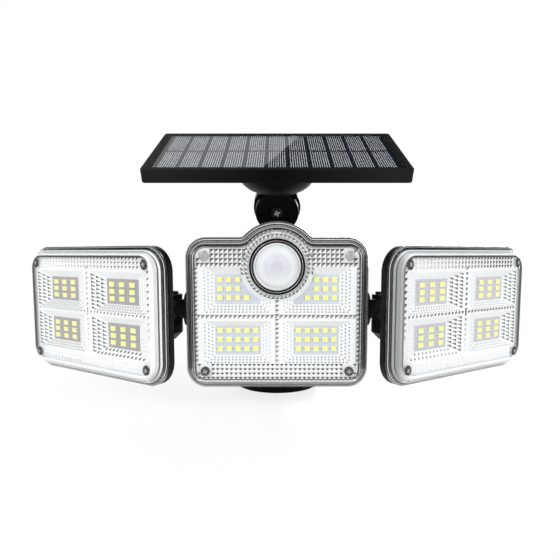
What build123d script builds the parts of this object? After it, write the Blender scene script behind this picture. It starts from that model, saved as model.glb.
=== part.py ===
from build123d import *
import os
from math import cos, hypot, radians, sin, sqrt

os.makedirs("parts", exist_ok=True)

# Three-head solar floodlight. Millimetres and degrees, +Z up, front towards -Y.
# The origin is the middle of the base plate's underside.

# Clearances
running_gap = 0.05
slip_gap = 0.3
drop_in_gap = 0.2

# Base plate and its hinge eye
base_radius = 30.0
base_thickness = 6.5
base_edge_round = 2.0
base_cone_radius = 17.0
base_cone_height = 5.0
base_cone_taper = 35.0
base_hole_circle = 45.0
base_hole_radius = 2.3
base_hole_count = 3
base_pivot_height = 32.0
base_stem_foot = 18.0

# Hinge ears, eyes and their bolts
ear_radius = 8.0
ear_thickness = 5.0
eye_width = 16.0
bolt_radius = 2.5
bolt_head_radius = 4.5
bolt_head_height = 3.0
nut_radius = 4.6
nut_height = 4.0
bolt_end = 1.0

# Centre head
face_to_column = 65.0
lens_bottom = 12.4
centre_width = 116.2
centre_height = 96.3
centre_corner = 13.0
bump_radius = 28.6
bump_foot_round = 4.0
sensor_below_top = 18.4
centre_screw_inset_x = 12.6
centre_screw_inset_z = 11.75
centre_shell_depth = 24.0
centre_back_round = 6.0

# Battery hump on the back of the centre head
hump_width = 84.0
hump_above_bottom = 11.0
hump_below_top = 8.0
hump_depth = 10.0
hump_corner = 9.0
hump_round = 4.0

# Lens cover, shared by the three heads
lens_wall = 2.2
lens_bevel = 5.0
lens_skirt = 8.0
lens_lip = 1.0
lens_lip_thickness = 1.5
screw_radius = 1.45
screw_head_radius = 2.9
screw_head_height = 1.8
screw_seat_radius = 3.3
screw_seat_depth = 1.2
screw_length = 15.0

# Stack behind the lens
tray_depth = 4.0
board_thickness = 1.6
gasket_thickness = 1.0
gasket_inset = 0.3
shell_wall = 2.5
pillar_radius = 4.0

# Light chips and the wells of the centre reflector
chip_thickness = 0.8
low_chip_columns = 5
high_chip_columns = 4
chip_rows = 3
centre_chip_width = 3.5
centre_chip_height = 3.1
centre_chip_margin = 1.4
low_chip_foot = 2.45
low_chip_head = 1.25
high_chip_foot = 2.65
high_chip_head = 1.95
chip_to_collar = 0.3
centre_well_inner = 3.5
centre_well_edge = 11.6
centre_well_taper = 7.0
low_well_bottom = 16.6
high_well_below_top = 18.7
well_divider = 5.0
divider_below_middle = 1.85
low_taper_bottom = 4.7
low_taper_top = 3.8
high_taper_bottom = 5.1
high_taper_top = 4.6
collar_front_radius = 20.5
collar_back_radius = 23.5

# Motion sensor
sensor_ring_radius = 17.4
sensor_ring_wall = 2.4
sensor_ring_proud = 3.0
sensor_dome_rise = 12.0
sensor_dome_wall = 1.2
sensor_can_radius = 4.1
sensor_can_height = 4.2

# Inside the centre head
battery_radius = 9.2
battery_length = 65.0
battery_depth = 25.0
battery_below_top = 26.0
cradle_width = 58.0
cradle_height = 20.0
cradle_grip = 3.0
control_width = 52.0
control_foot = 17.0
control_gap = 8.0
control_behind_face = 33.5
post_radius = 2.5
post_inset = 4.0

# Mode button on the back
button_inset = 6.0
button_above_middle = 1.0
button_radius = 5.8
button_proud = 1.2
button_flange = 1.2
button_flange_thickness = 1.2
button_travel = 0.8
switch_size = 6.2

# Side heads
side_width = 135.0
side_height = 87.0
side_corner = 16.0
side_screw_inset_x = 11.5
side_screw_inset_z = 11.3
side_below_arm = 1.8
side_shell_depth = 15.0
side_back_bevel = 11.5
side_yaw = 33.0
side_chip_width = 4.6
side_chip_height = 3.0
side_chip_margin_x = 3.3
side_chip_margin_z = 2.1
side_well_edge_x = 11.3
side_well_edge_z = 16.3
side_well_divider_x = 8.0
side_well_divider_z = 3.2
side_well_taper_x = 10.9
side_well_taper_z = 4.6

# Arms and the upright hinges of the side heads
arm_depth = 23.0
arm_above_middle = 1.0
arm_radius = 6.5
arm_shaft_radius = 5.0
boss_radius = 11.0
boss_length = 3.0
pin_beyond_side = 12.0
pin_to_face = 34.6
pin_to_inner_edge = 22.8
pin_radius = 2.0
pin_head_radius = 4.2
pin_head_height = 2.0
fork_radius = 6.5
fork_cap = 3.2
fork_foot = 13.5
fork_foot_bevel = 5.0
fork_root_out = 14.0
fork_root_in = 9.0
clip_radius = 7.2
clip_thickness = 1.5

# Panel and its knuckle
tilt_angle = 28.0
tilt_back = 6.0
tilt_below_top = 3.7
knuckle_rise = 30.2
knuckle_front_radius = 15.5
knuckle_rear_radius = 17.0
lobe_thickness = 9.0
washer_radius = 12.0
washer_thickness = 0.8
neck_width = 27.6
neck_front = 6.0
neck_shoulder = 8.0
dish_radius = 29.0
dish_bottom_radius = 19.0
dish_edge = 3.0
dish_depth = 17.5
knuckle_screw_radius = 2.4
knuckle_head_radius = 4.0
knuckle_head_height = 2.2
knuckle_seat_depth = 1.4
panel_width = 168.0
panel_depth = 84.4
panel_thickness = 8.4
panel_corner = 2.5
panel_edge_bevel = 0.6
panel_above_knuckle = 33.7
panel_rim = 4.0
glass_thickness = 2.0
glass_below_rim = 0.3
cell_count = 11
cell_thickness = 0.3
cell_gap = 0.15
cell_width = 10.8
cell_margin = 5.1
cell_end_margin = 3.2
panel_screw_circle = 38.0
panel_screw_grip = 3.0
panel_screw_bite = 3.5


# Derived sizes
board_front = lens_wall + drop_in_gap + tray_depth
board_back = board_front + board_thickness
shell_front = lens_skirt + gasket_thickness
lens_inside = lens_lip + lens_wall
inner_bevel = lens_bevel - lens_wall * (2 - sqrt(2))
tray_inset = lens_inside + slip_gap
lens_top = lens_bottom + centre_height
lens_middle = lens_bottom + centre_height / 2
centre_screw_x = centre_width / 2 - centre_screw_inset_x
centre_screw_z = centre_height / 2 - centre_screw_inset_z
centre_well_outer = centre_width / 2 - centre_well_edge
centre_floor_inner = centre_well_inner + centre_well_taper
centre_floor_outer = centre_well_outer - centre_well_taper
low_chips_x = centre_floor_inner + centre_chip_margin + centre_chip_width / 2
low_chips_end = centre_floor_outer - centre_chip_margin - centre_chip_width / 2
centre_pitch_x = (low_chips_end - low_chips_x) / (low_chip_columns - 1)
high_chips_x = low_chips_end - (high_chip_columns - 1) * centre_pitch_x
divider_z = centre_height / 2 - divider_below_middle
low_well_top = divider_z - well_divider / 2
high_well_bottom = divider_z + well_divider / 2
high_well_top = centre_height - high_well_below_top
low_floor_bottom = low_well_bottom + low_taper_bottom
low_floor_top = low_well_top - low_taper_top
high_floor_bottom = high_well_bottom + high_taper_bottom
high_floor_top = high_well_top - high_taper_top
low_chips_z = low_floor_bottom + low_chip_foot + centre_chip_height / 2
low_chips_top = low_floor_top - low_chip_head - centre_chip_height / 2
high_chips_z = high_floor_bottom + high_chip_foot + centre_chip_height / 2
high_chips_top = high_floor_top - high_chip_head - centre_chip_height / 2
centre_pitch_low = (low_chips_top - low_chips_z) / (chip_rows - 1)
centre_pitch_high = (high_chips_top - high_chips_z) / (chip_rows - 1)
chip_clear_radius = collar_back_radius + hypot(centre_chip_width, centre_chip_height) / 2 + chip_to_collar
sensor_height = lens_top - sensor_below_top
hump_bottom = lens_bottom + hump_above_bottom
hump_top = lens_top - hump_below_top
battery_height = lens_top - battery_below_top
control_bottom = lens_bottom + control_foot
control_top = battery_height - cradle_height / 2 - control_gap
control_height = control_top - control_bottom
control_middle = (control_bottom + control_top) / 2
button_x = control_width / 2 - button_inset
button_z = control_middle + button_above_middle
arm_height = lens_middle + arm_above_middle
side_middle = arm_height - side_below_arm
side_screw_x = side_width / 2 - side_screw_inset_x
side_screw_z = side_height / 2 - side_screw_inset_z
side_well_width = (side_width - side_well_divider_x) / 2 - side_well_edge_x
side_well_height = (side_height - side_well_divider_z) / 2 - side_well_edge_z
side_well_x = (side_well_divider_x + side_well_width) / 2
side_well_z = (side_well_divider_z + side_well_height) / 2
side_floor_width = side_well_width - 2 * side_well_taper_x
side_floor_height = side_well_height - 2 * side_well_taper_z
side_pitch_x = (side_floor_width - side_chip_width) / 2 - side_chip_margin_x
side_pitch_z = (side_floor_height - side_chip_height) / 2 - side_chip_margin_z
pin_x = centre_width / 2 + pin_beyond_side
tilt_height = lens_top - tilt_below_top
centre_back = shell_front + centre_shell_depth
hump_back = centre_back + hump_depth
side_back = shell_front + side_shell_depth
ear_inner = eye_width / 2 + slip_gap
ear_outer = ear_inner + ear_thickness
bore_radius = bolt_radius + running_gap
arm_y = arm_depth - face_to_column
side_lean = radians(side_yaw)
panel_lean = radians(tilt_angle)
panel_floor = knuckle_rise + panel_above_knuckle
panel_top = panel_floor + panel_thickness

# Working planes
centre_face = Plane.XZ.offset(face_to_column)
pin_spot = Vector(-pin_x, arm_y, 0)
inward = (cos(side_lean), -sin(side_lean), 0)
side_front = (-sin(side_lean), -cos(side_lean), 0)
side_up = Plane(origin=pin_spot, x_dir=inward, z_dir=(0, 0, 1))
pin_face = Plane(origin=pin_spot, x_dir=inward, z_dir=side_front)
side_face = Plane(
    origin=pin_face.from_local_coords((pin_to_inner_edge - side_width / 2, side_middle, pin_to_face)),
    x_dir=inward,
    z_dir=side_front,
)
tilt_plane = Plane(
    origin=(0, tilt_back, tilt_height),
    x_dir=(1, 0, 0),
    z_dir=(0, -sin(panel_lean), cos(panel_lean)),
)
panel_axis = Axis(tilt_plane.origin, tilt_plane.z_dir)
panel_section = Plane(origin=tilt_plane.origin, x_dir=(1, 0, 0), z_dir=tilt_plane.y_dir * -1)
roll_plane = Plane(
    origin=tilt_plane.from_local_coords((0, 0, knuckle_rise)),
    x_dir=(1, 0, 0),
    z_dir=tilt_plane.y_dir * -1,
)


# Helpers
def save(piece, node):
    """Label a finished piece and write its STEP file."""
    piece.label = node
    export_step(piece, f"parts/{node}.step")


def mirrored(piece):
    """The same piece on the other side of the lamp."""
    with BuildPart() as twin:
        mirror(piece, about=Plane.YZ)
    return twin.part


def spots(plane, points):
    """Locations at flat points of a plane."""
    return [plane.location * Location((x, y, 0)) for x, y in points]


def front_edges(piece, plane):
    """Outer edges of the face that lies furthest along a plane's normal."""
    return piece.faces().sort_by(Axis(plane.origin, plane.z_dir))[-1].outer_wire().edges()


def back_edges(piece, plane):
    """Outer edges of the face that lies furthest behind a plane."""
    return piece.faces().sort_by(Axis(plane.origin, plane.z_dir))[0].outer_wire().edges()


def corners(x, z):
    """Four points about the middle of a head."""
    return [(sx * x, sz * z) for sx in (-1, 1) for sz in (-1, 1)]


def centre_outline(plane, inset):
    """Centre head's outline with its sensor bump, drawn in by an inset."""
    top = lens_top - inset
    with BuildSketch(plane) as outline:
        with Locations((0, lens_middle)):
            RectangleRounded(centre_width - 2 * inset, centre_height - 2 * inset, centre_corner - inset)
        with Locations((0, sensor_height)):
            Circle(bump_radius - inset)
        feet = [v for v in outline.vertices() if abs(v.Y - top) < 0.01 and abs(v.X) < bump_radius]
        fillet(feet, bump_foot_round + inset)
    return outline.sketch


def side_outline(plane, inset):
    """Side head's outline, drawn in by an inset."""
    with BuildSketch(plane) as outline:
        RectangleRounded(side_width - 2 * inset, side_height - 2 * inset, side_corner - inset)
    return outline.sketch


def lens_cover(face, outline, screws):
    """Clear cap with a bevelled front rim, a rear lip and seated screw holes."""
    with BuildPart() as hollow:
        extrude(outline(face.offset(-lens_skirt), lens_inside), amount=lens_skirt - lens_wall)
        chamfer(front_edges(hollow, face), inner_bevel)
    with BuildPart() as lens:
        extrude(outline(face.offset(-lens_skirt), lens_lip), amount=lens_skirt)
        chamfer(front_edges(lens, face), lens_bevel)
        extrude(outline(face.offset(-lens_skirt), 0), amount=lens_lip_thickness)
        add(hollow.part, mode=Mode.SUBTRACT)
        with Locations(*spots(face, screws)):
            CounterBoreHole(screw_radius + drop_in_gap, screw_seat_radius, screw_seat_depth, 2 * lens_wall)
    return lens.part


def rim_gasket(face, outline):
    """Flat seal between the lens skirt and the rear shell."""
    with BuildPart() as gasket:
        extrude(outline(face.offset(-shell_front), gasket_inset), amount=gasket_thickness)
        extrude(outline(face.offset(-shell_front), lens_inside), amount=gasket_thickness, mode=Mode.SUBTRACT)
    return gasket.part


def light_board(face, outline, screws):
    """Flat circuit board that carries the light chips."""
    with BuildPart() as board:
        extrude(outline(face.offset(-board_back), tray_inset), amount=board_thickness)
        with Locations(*spots(face.offset(-board_front), screws)):
            Hole(screw_radius + drop_in_gap, 2 * board_thickness)
    return board.part


def light_chips(face, points, width, height):
    """Light chips standing on the board."""
    with BuildPart() as chips:
        with Locations(*spots(face.offset(-board_front), points)):
            Box(width, height, chip_thickness, align=(Align.CENTER, Align.CENTER, Align.MIN))
    return chips.part


def lens_screws(face, points):
    """Pan-head screws that hold the lens, tray and board on the shell's pillars."""
    seat = face.offset(-screw_seat_depth)
    with BuildPart() as screws:
        with Locations(*spots(seat, points)):
            Cylinder(screw_radius, screw_length, align=(Align.CENTER, Align.CENTER, Align.MAX))
            Cylinder(screw_head_radius, screw_head_height, align=(Align.CENTER, Align.CENTER, Align.MIN))
        heads = screws.faces().group_by(Axis(seat.origin, seat.z_dir))[-1]
        fillet(heads.edges(), screw_head_height / 2)
    return screws.part


def cut_well(face, mouth, floor):
    """Tapered well through the reflector, from (left, right, bottom, top) mouth to floor."""
    sections = []
    for depth, (left, right, bottom, top) in ((board_front - tray_depth, mouth), (board_front, floor)):
        with BuildSketch(face.offset(-depth)) as section:
            with Locations(((left + right) / 2, (bottom + top) / 2)):
                Rectangle(right - left, top - bottom)
        sections.append(section.sketch)
    loft(sections, mode=Mode.SUBTRACT)


def hinge_bolt(pivot_y, pivot_z):
    """Bolt along X through a pair of ears, with its head on the right."""
    with BuildPart() as bolt:
        with BuildSketch(Plane.YZ.offset(-ear_outer - nut_height - bolt_end)):
            with Locations((pivot_y, pivot_z)):
                Circle(bolt_radius)
        extrude(amount=2 * ear_outer + nut_height + bolt_end)
        with BuildSketch(Plane.YZ.offset(ear_outer)):
            with Locations((pivot_y, pivot_z)):
                Circle(bolt_head_radius)
        extrude(amount=bolt_head_height)
        fillet(bolt.faces().sort_by(Axis.X)[-1].edges(), bolt_head_height / 3)
    return bolt.part


def hinge_nut(pivot_y, pivot_z):
    """Hexagon nut on the left end of a hinge bolt."""
    with BuildPart() as nut:
        with BuildSketch(Plane.YZ.offset(-ear_outer - nut_height)):
            with Locations((pivot_y, pivot_z)):
                RegularPolygon(nut_radius, 6)
                Circle(bore_radius, mode=Mode.SUBTRACT)
        extrude(amount=nut_height)
    return nut.part


def ear_pair(pivot_y, pivot_z, root_y, root_bottom, root_top):
    """Two bored ears that reach back from a root to a hinge axis along X."""
    for start in (ear_inner, -ear_outer):
        with BuildSketch(Plane.YZ.offset(start)) as ear:
            with Locations((pivot_y, pivot_z)):
                Circle(ear_radius)
            with Locations((root_y, (root_bottom + root_top) / 2)):
                Rectangle(shell_wall, root_top - root_bottom)
            make_hull()
            with Locations((pivot_y, pivot_z)):
                Circle(bore_radius, mode=Mode.SUBTRACT)
        extrude(ear.sketch, amount=ear_thickness)


# Base plate with its stem and eye
with BuildPart() as base_bracket:
    with BuildSketch():
        Circle(base_radius)
    extrude(amount=base_thickness)
    fillet(base_bracket.faces().sort_by(Axis.Z)[-1].edges(), base_edge_round)
    with BuildSketch(Plane.XY.offset(base_thickness)):
        Circle(base_cone_radius)
    extrude(amount=base_cone_height, taper=base_cone_taper)
    with BuildSketch(Plane.YZ.offset(-eye_width / 2)):
        with Locations((0, base_pivot_height)):
            Circle(ear_radius)
        with Locations((0, base_thickness)):
            Rectangle(base_stem_foot, base_thickness)
        make_hull()
        with Locations((0, base_pivot_height)):
            Circle(bore_radius, mode=Mode.SUBTRACT)
    extrude(amount=eye_width)
    with PolarLocations(base_hole_circle / 2, base_hole_count, start_angle=90):
        Hole(base_hole_radius)
save(base_bracket.part, "base_bracket")
save(hinge_bolt(0, base_pivot_height), "base_bolt")
save(hinge_nut(0, base_pivot_height), "base_nut")

# Rear shell of the centre head
centre_screws = [(x, lens_middle + z) for x, z in corners(centre_screw_x, centre_screw_z)]
hump_middle = (hump_bottom + hump_top) / 2
hump_height = hump_top - hump_bottom
hump_back_y = hump_back - face_to_column
control_posts = [
    (x, control_middle + z)
    for x, z in corners(control_width / 2 - post_inset, control_height / 2 - post_inset)
]
with BuildPart() as centre_shell:
    extrude(centre_outline(centre_face.offset(-centre_back), 0), amount=centre_shell_depth)
    fillet(back_edges(centre_shell, centre_face), centre_back_round)
    with BuildSketch(centre_face.offset(-hump_back)):
        with Locations((0, hump_middle)):
            RectangleRounded(hump_width, hump_height, hump_corner)
    extrude(amount=hump_depth + shell_wall)
    fillet(back_edges(centre_shell, centre_face), hump_round)
    ear_pair(tilt_back, tilt_height, hump_back_y, hump_middle + hump_height / 8, hump_top - hump_corner)
    ear_pair(0, base_pivot_height, hump_back_y, hump_bottom + hump_corner / 2, hump_middle - hump_height / 8)
    for side in (-1, 1):
        with BuildSketch(Plane.YZ.offset(side * centre_width / 2)):
            with Locations((arm_y, arm_height)):
                Circle(boss_radius)
        extrude(amount=side * boss_length)
    extrude(
        centre_outline(centre_face.offset(shell_wall - centre_back), lens_inside),
        amount=centre_shell_depth - shell_wall,
        mode=Mode.SUBTRACT,
    )
    with BuildSketch(centre_face.offset(shell_wall - hump_back)):
        with Locations((0, hump_middle)):
            RectangleRounded(
                hump_width - 2 * shell_wall, hump_height - 2 * shell_wall, hump_corner - shell_wall
            )
    extrude(amount=hump_depth, mode=Mode.SUBTRACT)
    with BuildSketch(centre_face.offset(-board_back)):
        with Locations(*centre_screws):
            Circle(pillar_radius)
            Circle(screw_radius + running_gap, mode=Mode.SUBTRACT)
    extrude(amount=board_back + shell_wall / 2 - centre_back)
    with BuildSketch(centre_face.offset(-control_behind_face - board_thickness)):
        with Locations(*control_posts):
            Circle(post_radius)
    extrude(amount=control_behind_face + board_thickness + shell_wall / 2 - hump_back)
    for side in (-1, 1):
        with BuildSketch(Plane.YZ.offset(side * (centre_width / 2 - lens_inside))):
            with Locations((arm_y, arm_height)):
                Circle(arm_shaft_radius + running_gap)
        extrude(amount=side * (lens_inside + boss_length), mode=Mode.SUBTRACT)
    with BuildSketch(centre_face.offset(-hump_back)):
        with Locations((button_x, button_z)):
            Circle(button_radius + drop_in_gap)
    extrude(amount=shell_wall, mode=Mode.SUBTRACT)
save(centre_shell.part, "centre_rear_shell")
save(hinge_bolt(tilt_back, tilt_height), "tilt_bolt")
save(hinge_nut(tilt_back, tilt_height), "tilt_nut")

# Front of the centre head
with BuildPart() as centre_lens:
    add(lens_cover(centre_face, centre_outline, centre_screws))
    with Locations(*spots(centre_face, [(0, sensor_height)])):
        Hole(sensor_ring_radius + drop_in_gap, 2 * lens_wall)
save(centre_lens.part, "centre_lens")
save(rim_gasket(centre_face, centre_outline), "centre_gasket")
save(light_board(centre_face, centre_outline, centre_screws), "centre_light_board")
save(lens_screws(centre_face, centre_screws), "centre_lens_screws")

with BuildPart() as centre_reflector:
    extrude(centre_outline(centre_face.offset(-board_front), tray_inset), amount=tray_depth)
    chamfer(front_edges(centre_reflector, centre_face), inner_bevel)
    for mouth_z, floor_z in (
        ((low_well_bottom, low_well_top), (low_floor_bottom, low_floor_top)),
        ((high_well_bottom, high_well_top), (high_floor_bottom, high_floor_top)),
    ):
        mouth_z = [lens_bottom + z for z in mouth_z]
        floor_z = [lens_bottom + z for z in floor_z]
        cut_well(
            centre_face,
            (centre_well_inner, centre_well_outer, *mouth_z),
            (centre_floor_inner, centre_floor_outer, *floor_z),
        )
        cut_well(
            centre_face,
            (-centre_well_outer, -centre_well_inner, *mouth_z),
            (-centre_floor_outer, -centre_floor_inner, *floor_z),
        )
    for depth, radius in ((board_front - tray_depth, collar_front_radius), (board_front, collar_back_radius)):
        with BuildSketch(centre_face.offset(-depth)):
            with Locations((0, sensor_height)):
                Circle(radius)
    loft()
    with Locations(*spots(centre_face.offset(-board_front), [(0, sensor_height)])):
        Hole(sensor_ring_radius + drop_in_gap, 3 * tray_depth)
    with Locations(*spots(centre_face.offset(-board_front), centre_screws)):
        Hole(screw_radius + drop_in_gap, 3 * tray_depth)
save(centre_reflector.part, "centre_reflector")

low_chips = [
    (side * (low_chips_x + i * centre_pitch_x), lens_bottom + low_chips_z + j * centre_pitch_low)
    for side in (-1, 1)
    for i in range(low_chip_columns)
    for j in range(chip_rows)
]
high_chips = [
    (side * (high_chips_x + i * centre_pitch_x), lens_bottom + high_chips_z + j * centre_pitch_high)
    for side in (-1, 1)
    for i in range(high_chip_columns)
    for j in range(chip_rows)
]
high_chips = [(x, z) for x, z in high_chips if hypot(x, z - sensor_height) > chip_clear_radius]
save(
    light_chips(centre_face, low_chips + high_chips, centre_chip_width, centre_chip_height),
    "centre_light_chips",
)

# Motion sensor
ring_inner = sensor_ring_radius - sensor_ring_wall
sensor_plane = Plane(origin=(0, -face_to_column, sensor_height), x_dir=(1, 0, 0), z_dir=(0, 0, 1))
sensor_axis = Axis(sensor_plane.origin, (0, 1, 0))
with BuildPart() as sensor_ring:
    with BuildSketch(centre_face.offset(-board_front)):
        with Locations((0, sensor_height)):
            Circle(sensor_ring_radius)
            Circle(ring_inner, mode=Mode.SUBTRACT)
    extrude(amount=board_front + sensor_ring_proud)
    fillet(sensor_ring.faces().sort_by(Axis.Y)[0].edges(), sensor_ring_wall / 3)
save(sensor_ring.part, "sensor_ring")

with BuildPart() as sensor_dome:
    for wall, mode in ((running_gap, Mode.ADD), (sensor_dome_wall, Mode.SUBTRACT)):
        rim = ring_inner - wall
        rise = sensor_dome_rise - wall
        with BuildSketch(sensor_plane):
            with BuildLine():
                crown = RadiusArc((0, -rise), (rim, 0), -(rim**2 + rise**2) / (2 * rise))
                skirt = Line(crown @ 1, (rim, board_front))
                foot = Line(skirt @ 1, (0, board_front))
                Line(foot @ 1, crown @ 0)
            make_face()
        revolve(axis=sensor_axis, mode=mode)
save(sensor_dome.part, "sensor_dome")

with BuildPart() as sensor_element:
    with BuildSketch(centre_face.offset(-board_front)):
        with Locations((0, sensor_height)):
            Circle(sensor_can_radius)
    extrude(amount=sensor_can_height)
    fillet(sensor_element.faces().sort_by(Axis.Y)[0].edges(), sensor_can_radius / 8)
save(sensor_element.part, "sensor_element")

# Battery, its cradle and the control board
battery_y = battery_depth - face_to_column
with BuildPart() as battery_cell:
    with BuildSketch(Plane.YZ.offset(-battery_length / 2)):
        with Locations((battery_y, battery_height)):
            Circle(battery_radius)
    extrude(amount=battery_length)
    fillet(battery_cell.faces().filter_by(Axis.X).edges(), battery_radius / 12)
save(battery_cell.part, "battery_cell")

cradle_back = hump_back - shell_wall
with BuildPart() as battery_cradle:
    with BuildSketch(centre_face.offset(-cradle_back)):
        with Locations((0, battery_height)):
            Rectangle(cradle_width, cradle_height)
    extrude(amount=cradle_back - battery_depth - cradle_grip)
    with BuildSketch(Plane.YZ.offset(-cradle_width)):
        with Locations((battery_y, battery_height)):
            Circle(battery_radius + drop_in_gap)
    extrude(amount=2 * cradle_width, mode=Mode.SUBTRACT)
save(battery_cradle.part, "battery_cradle")

with BuildPart() as control_board:
    with BuildSketch(centre_face.offset(-control_behind_face - board_thickness)):
        with Locations((0, control_middle)):
            Rectangle(control_width, control_height)
    extrude(amount=board_thickness)
save(control_board.part, "control_board")

# Mode button and the switch under it
flange_back = hump_back - shell_wall - slip_gap
switch_back = flange_back - button_flange_thickness - button_travel - slip_gap
with BuildPart() as mode_button:
    with BuildSketch(centre_face.offset(-hump_back - button_proud)):
        with Locations((button_x, button_z)):
            Circle(button_radius)
    extrude(amount=hump_back + button_proud - flange_back)
    fillet(back_edges(mode_button, centre_face), button_proud / 2)
    with BuildSketch(centre_face.offset(-flange_back)):
        with Locations((button_x, button_z)):
            Circle(button_radius + button_flange)
    extrude(amount=button_flange_thickness)
save(mode_button.part, "mode_button")

with BuildPart() as button_switch:
    with BuildSketch(centre_face.offset(-switch_back)):
        with Locations((button_x, button_z)):
            Rectangle(switch_size, switch_size)
    extrude(amount=switch_back - control_behind_face - board_thickness)
save(button_switch.part, "button_switch")

# Side heads: the left one is modelled and the right one mirrored
side_screws = corners(side_screw_x, side_screw_z)
fork_top = arm_height + arm_radius + slip_gap
fork_bottom = arm_height - arm_radius - slip_gap
shell_to_pin = side_back - pin_to_face
side_inner_bevel = side_back_bevel + shell_wall * (sqrt(2) - 1) - lens_inside
with BuildPart() as side_hollow:
    extrude(
        side_outline(side_face.offset(shell_wall - side_back), lens_inside),
        amount=side_shell_depth - shell_wall,
    )
    chamfer(back_edges(side_hollow, side_face), side_inner_bevel)

with BuildPart() as side_block:
    extrude(side_outline(side_face.offset(-side_back), 0), amount=side_back - board_back)
    chamfer(back_edges(side_block, side_face), side_back_bevel)

with BuildPart() as side_pillars:
    with BuildSketch(side_face.offset(-board_back)):
        with Locations(*side_screws):
            Circle(pillar_radius)
            Circle(screw_radius + running_gap, mode=Mode.SUBTRACT)
    extrude(amount=board_back + shell_wall / 2 - side_back)
    add(side_block.part, mode=Mode.INTERSECT)

with BuildPart() as side_shell:
    extrude(side_outline(side_face.offset(-side_back), 0), amount=side_shell_depth)
    chamfer(back_edges(side_shell, side_face), side_back_bevel)
    for level, height in ((fork_top, fork_cap), (fork_bottom - fork_foot, fork_foot)):
        with BuildSketch(side_up.offset(level)):
            Circle(fork_radius)
            with Locations(((fork_root_in - fork_root_out) / 2, shell_to_pin - shell_wall / 2)):
                Rectangle(fork_root_out + fork_root_in, shell_wall)
            make_hull()
        extrude(amount=height)
    fork_end = side_shell.edges().filter_by(GeomType.CIRCLE).sort_by(Axis.Z)
    foot_rim = [e for e in fork_end if abs(e.center().Z - fork_bottom + fork_foot) < 0.01]
    chamfer(foot_rim, fork_foot_bevel)
    add(side_hollow.part, mode=Mode.SUBTRACT)
    add(side_pillars.part)
    with BuildSketch(side_up.offset(fork_bottom - fork_foot + shell_wall)):
        Circle(pin_radius + running_gap)
    extrude(amount=fork_top + fork_cap - fork_bottom + fork_foot, mode=Mode.SUBTRACT)

with BuildPart() as side_reflector:
    extrude(side_outline(side_face.offset(-board_front), tray_inset), amount=tray_depth)
    chamfer(front_edges(side_reflector, side_face), inner_bevel)
    for x, z in corners(side_well_x, side_well_z):
        mouth_x, mouth_z = side_well_width / 2, side_well_height / 2
        floor_x, floor_z = side_floor_width / 2, side_floor_height / 2
        cut_well(
            side_face,
            (x - mouth_x, x + mouth_x, z - mouth_z, z + mouth_z),
            (x - floor_x, x + floor_x, z - floor_z, z + floor_z),
        )
    with Locations(*spots(side_face.offset(-board_front), side_screws)):
        Hole(screw_radius + drop_in_gap, 3 * tray_depth)

side_chips = [
    (x + i * side_pitch_x, z + j * side_pitch_z)
    for x, z in corners(side_well_x, side_well_z)
    for i in (-1, 0, 1)
    for j in (-1, 0, 1)
]

with BuildPart() as hinge_pin:
    with BuildSketch(side_up.offset(fork_bottom - fork_foot + shell_wall)):
        Circle(pin_radius)
    extrude(amount=fork_top + fork_cap - fork_bottom + fork_foot - shell_wall)
    with BuildSketch(side_up.offset(fork_top + fork_cap)):
        Circle(pin_head_radius)
    extrude(amount=pin_head_height)
    fillet(hinge_pin.faces().sort_by(Axis.Z)[-1].edges(), pin_head_height / 2)

# Arm: a shaft in the centre head's boss and an upright eye for the hinge pin
boss_face = centre_width / 2 + boss_length
clip_outer = centre_width / 2 - lens_inside - slip_gap
shaft_end = clip_outer - 2 * clip_thickness
with BuildPart() as arm:
    with BuildSketch(Plane.YZ.offset(-shaft_end)):
        with Locations((arm_y, arm_height)):
            Circle(arm_shaft_radius)
    extrude(amount=shaft_end - pin_x)
    with BuildSketch(Plane.YZ.offset(-boss_face - slip_gap)):
        with Locations((arm_y, arm_height)):
            Circle(arm_radius)
    extrude(amount=boss_face + slip_gap - pin_x)
    with BuildSketch(side_up.offset(arm_height - arm_radius)):
        Circle(fork_radius)
    extrude(amount=2 * arm_radius)
    with BuildSketch(side_up.offset(arm_height - 2 * arm_radius)):
        Circle(pin_radius + running_gap)
    extrude(amount=4 * arm_radius, mode=Mode.SUBTRACT)

with BuildPart() as arm_clip:
    with BuildSketch(Plane.YZ.offset(-clip_outer)):
        with Locations((arm_y, arm_height)):
            Circle(clip_radius)
            Circle(arm_shaft_radius + running_gap, mode=Mode.SUBTRACT)
    extrude(amount=clip_thickness)

side_pieces = {
    "head_rear_shell": side_shell.part,
    "head_reflector": side_reflector.part,
    "head_lens": lens_cover(side_face, side_outline, side_screws),
    "head_gasket": rim_gasket(side_face, side_outline),
    "head_light_board": light_board(side_face, side_outline, side_screws),
    "head_light_chips": light_chips(side_face, side_chips, side_chip_width, side_chip_height),
    "head_lens_screws": lens_screws(side_face, side_screws),
    "hinge_pin": hinge_pin.part,
    "arm": arm.part,
    "arm_clip": arm_clip.part,
}
for node, piece in side_pieces.items():
    save(piece, f"left_{node}")
    save(mirrored(piece), f"right_{node}")

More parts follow.
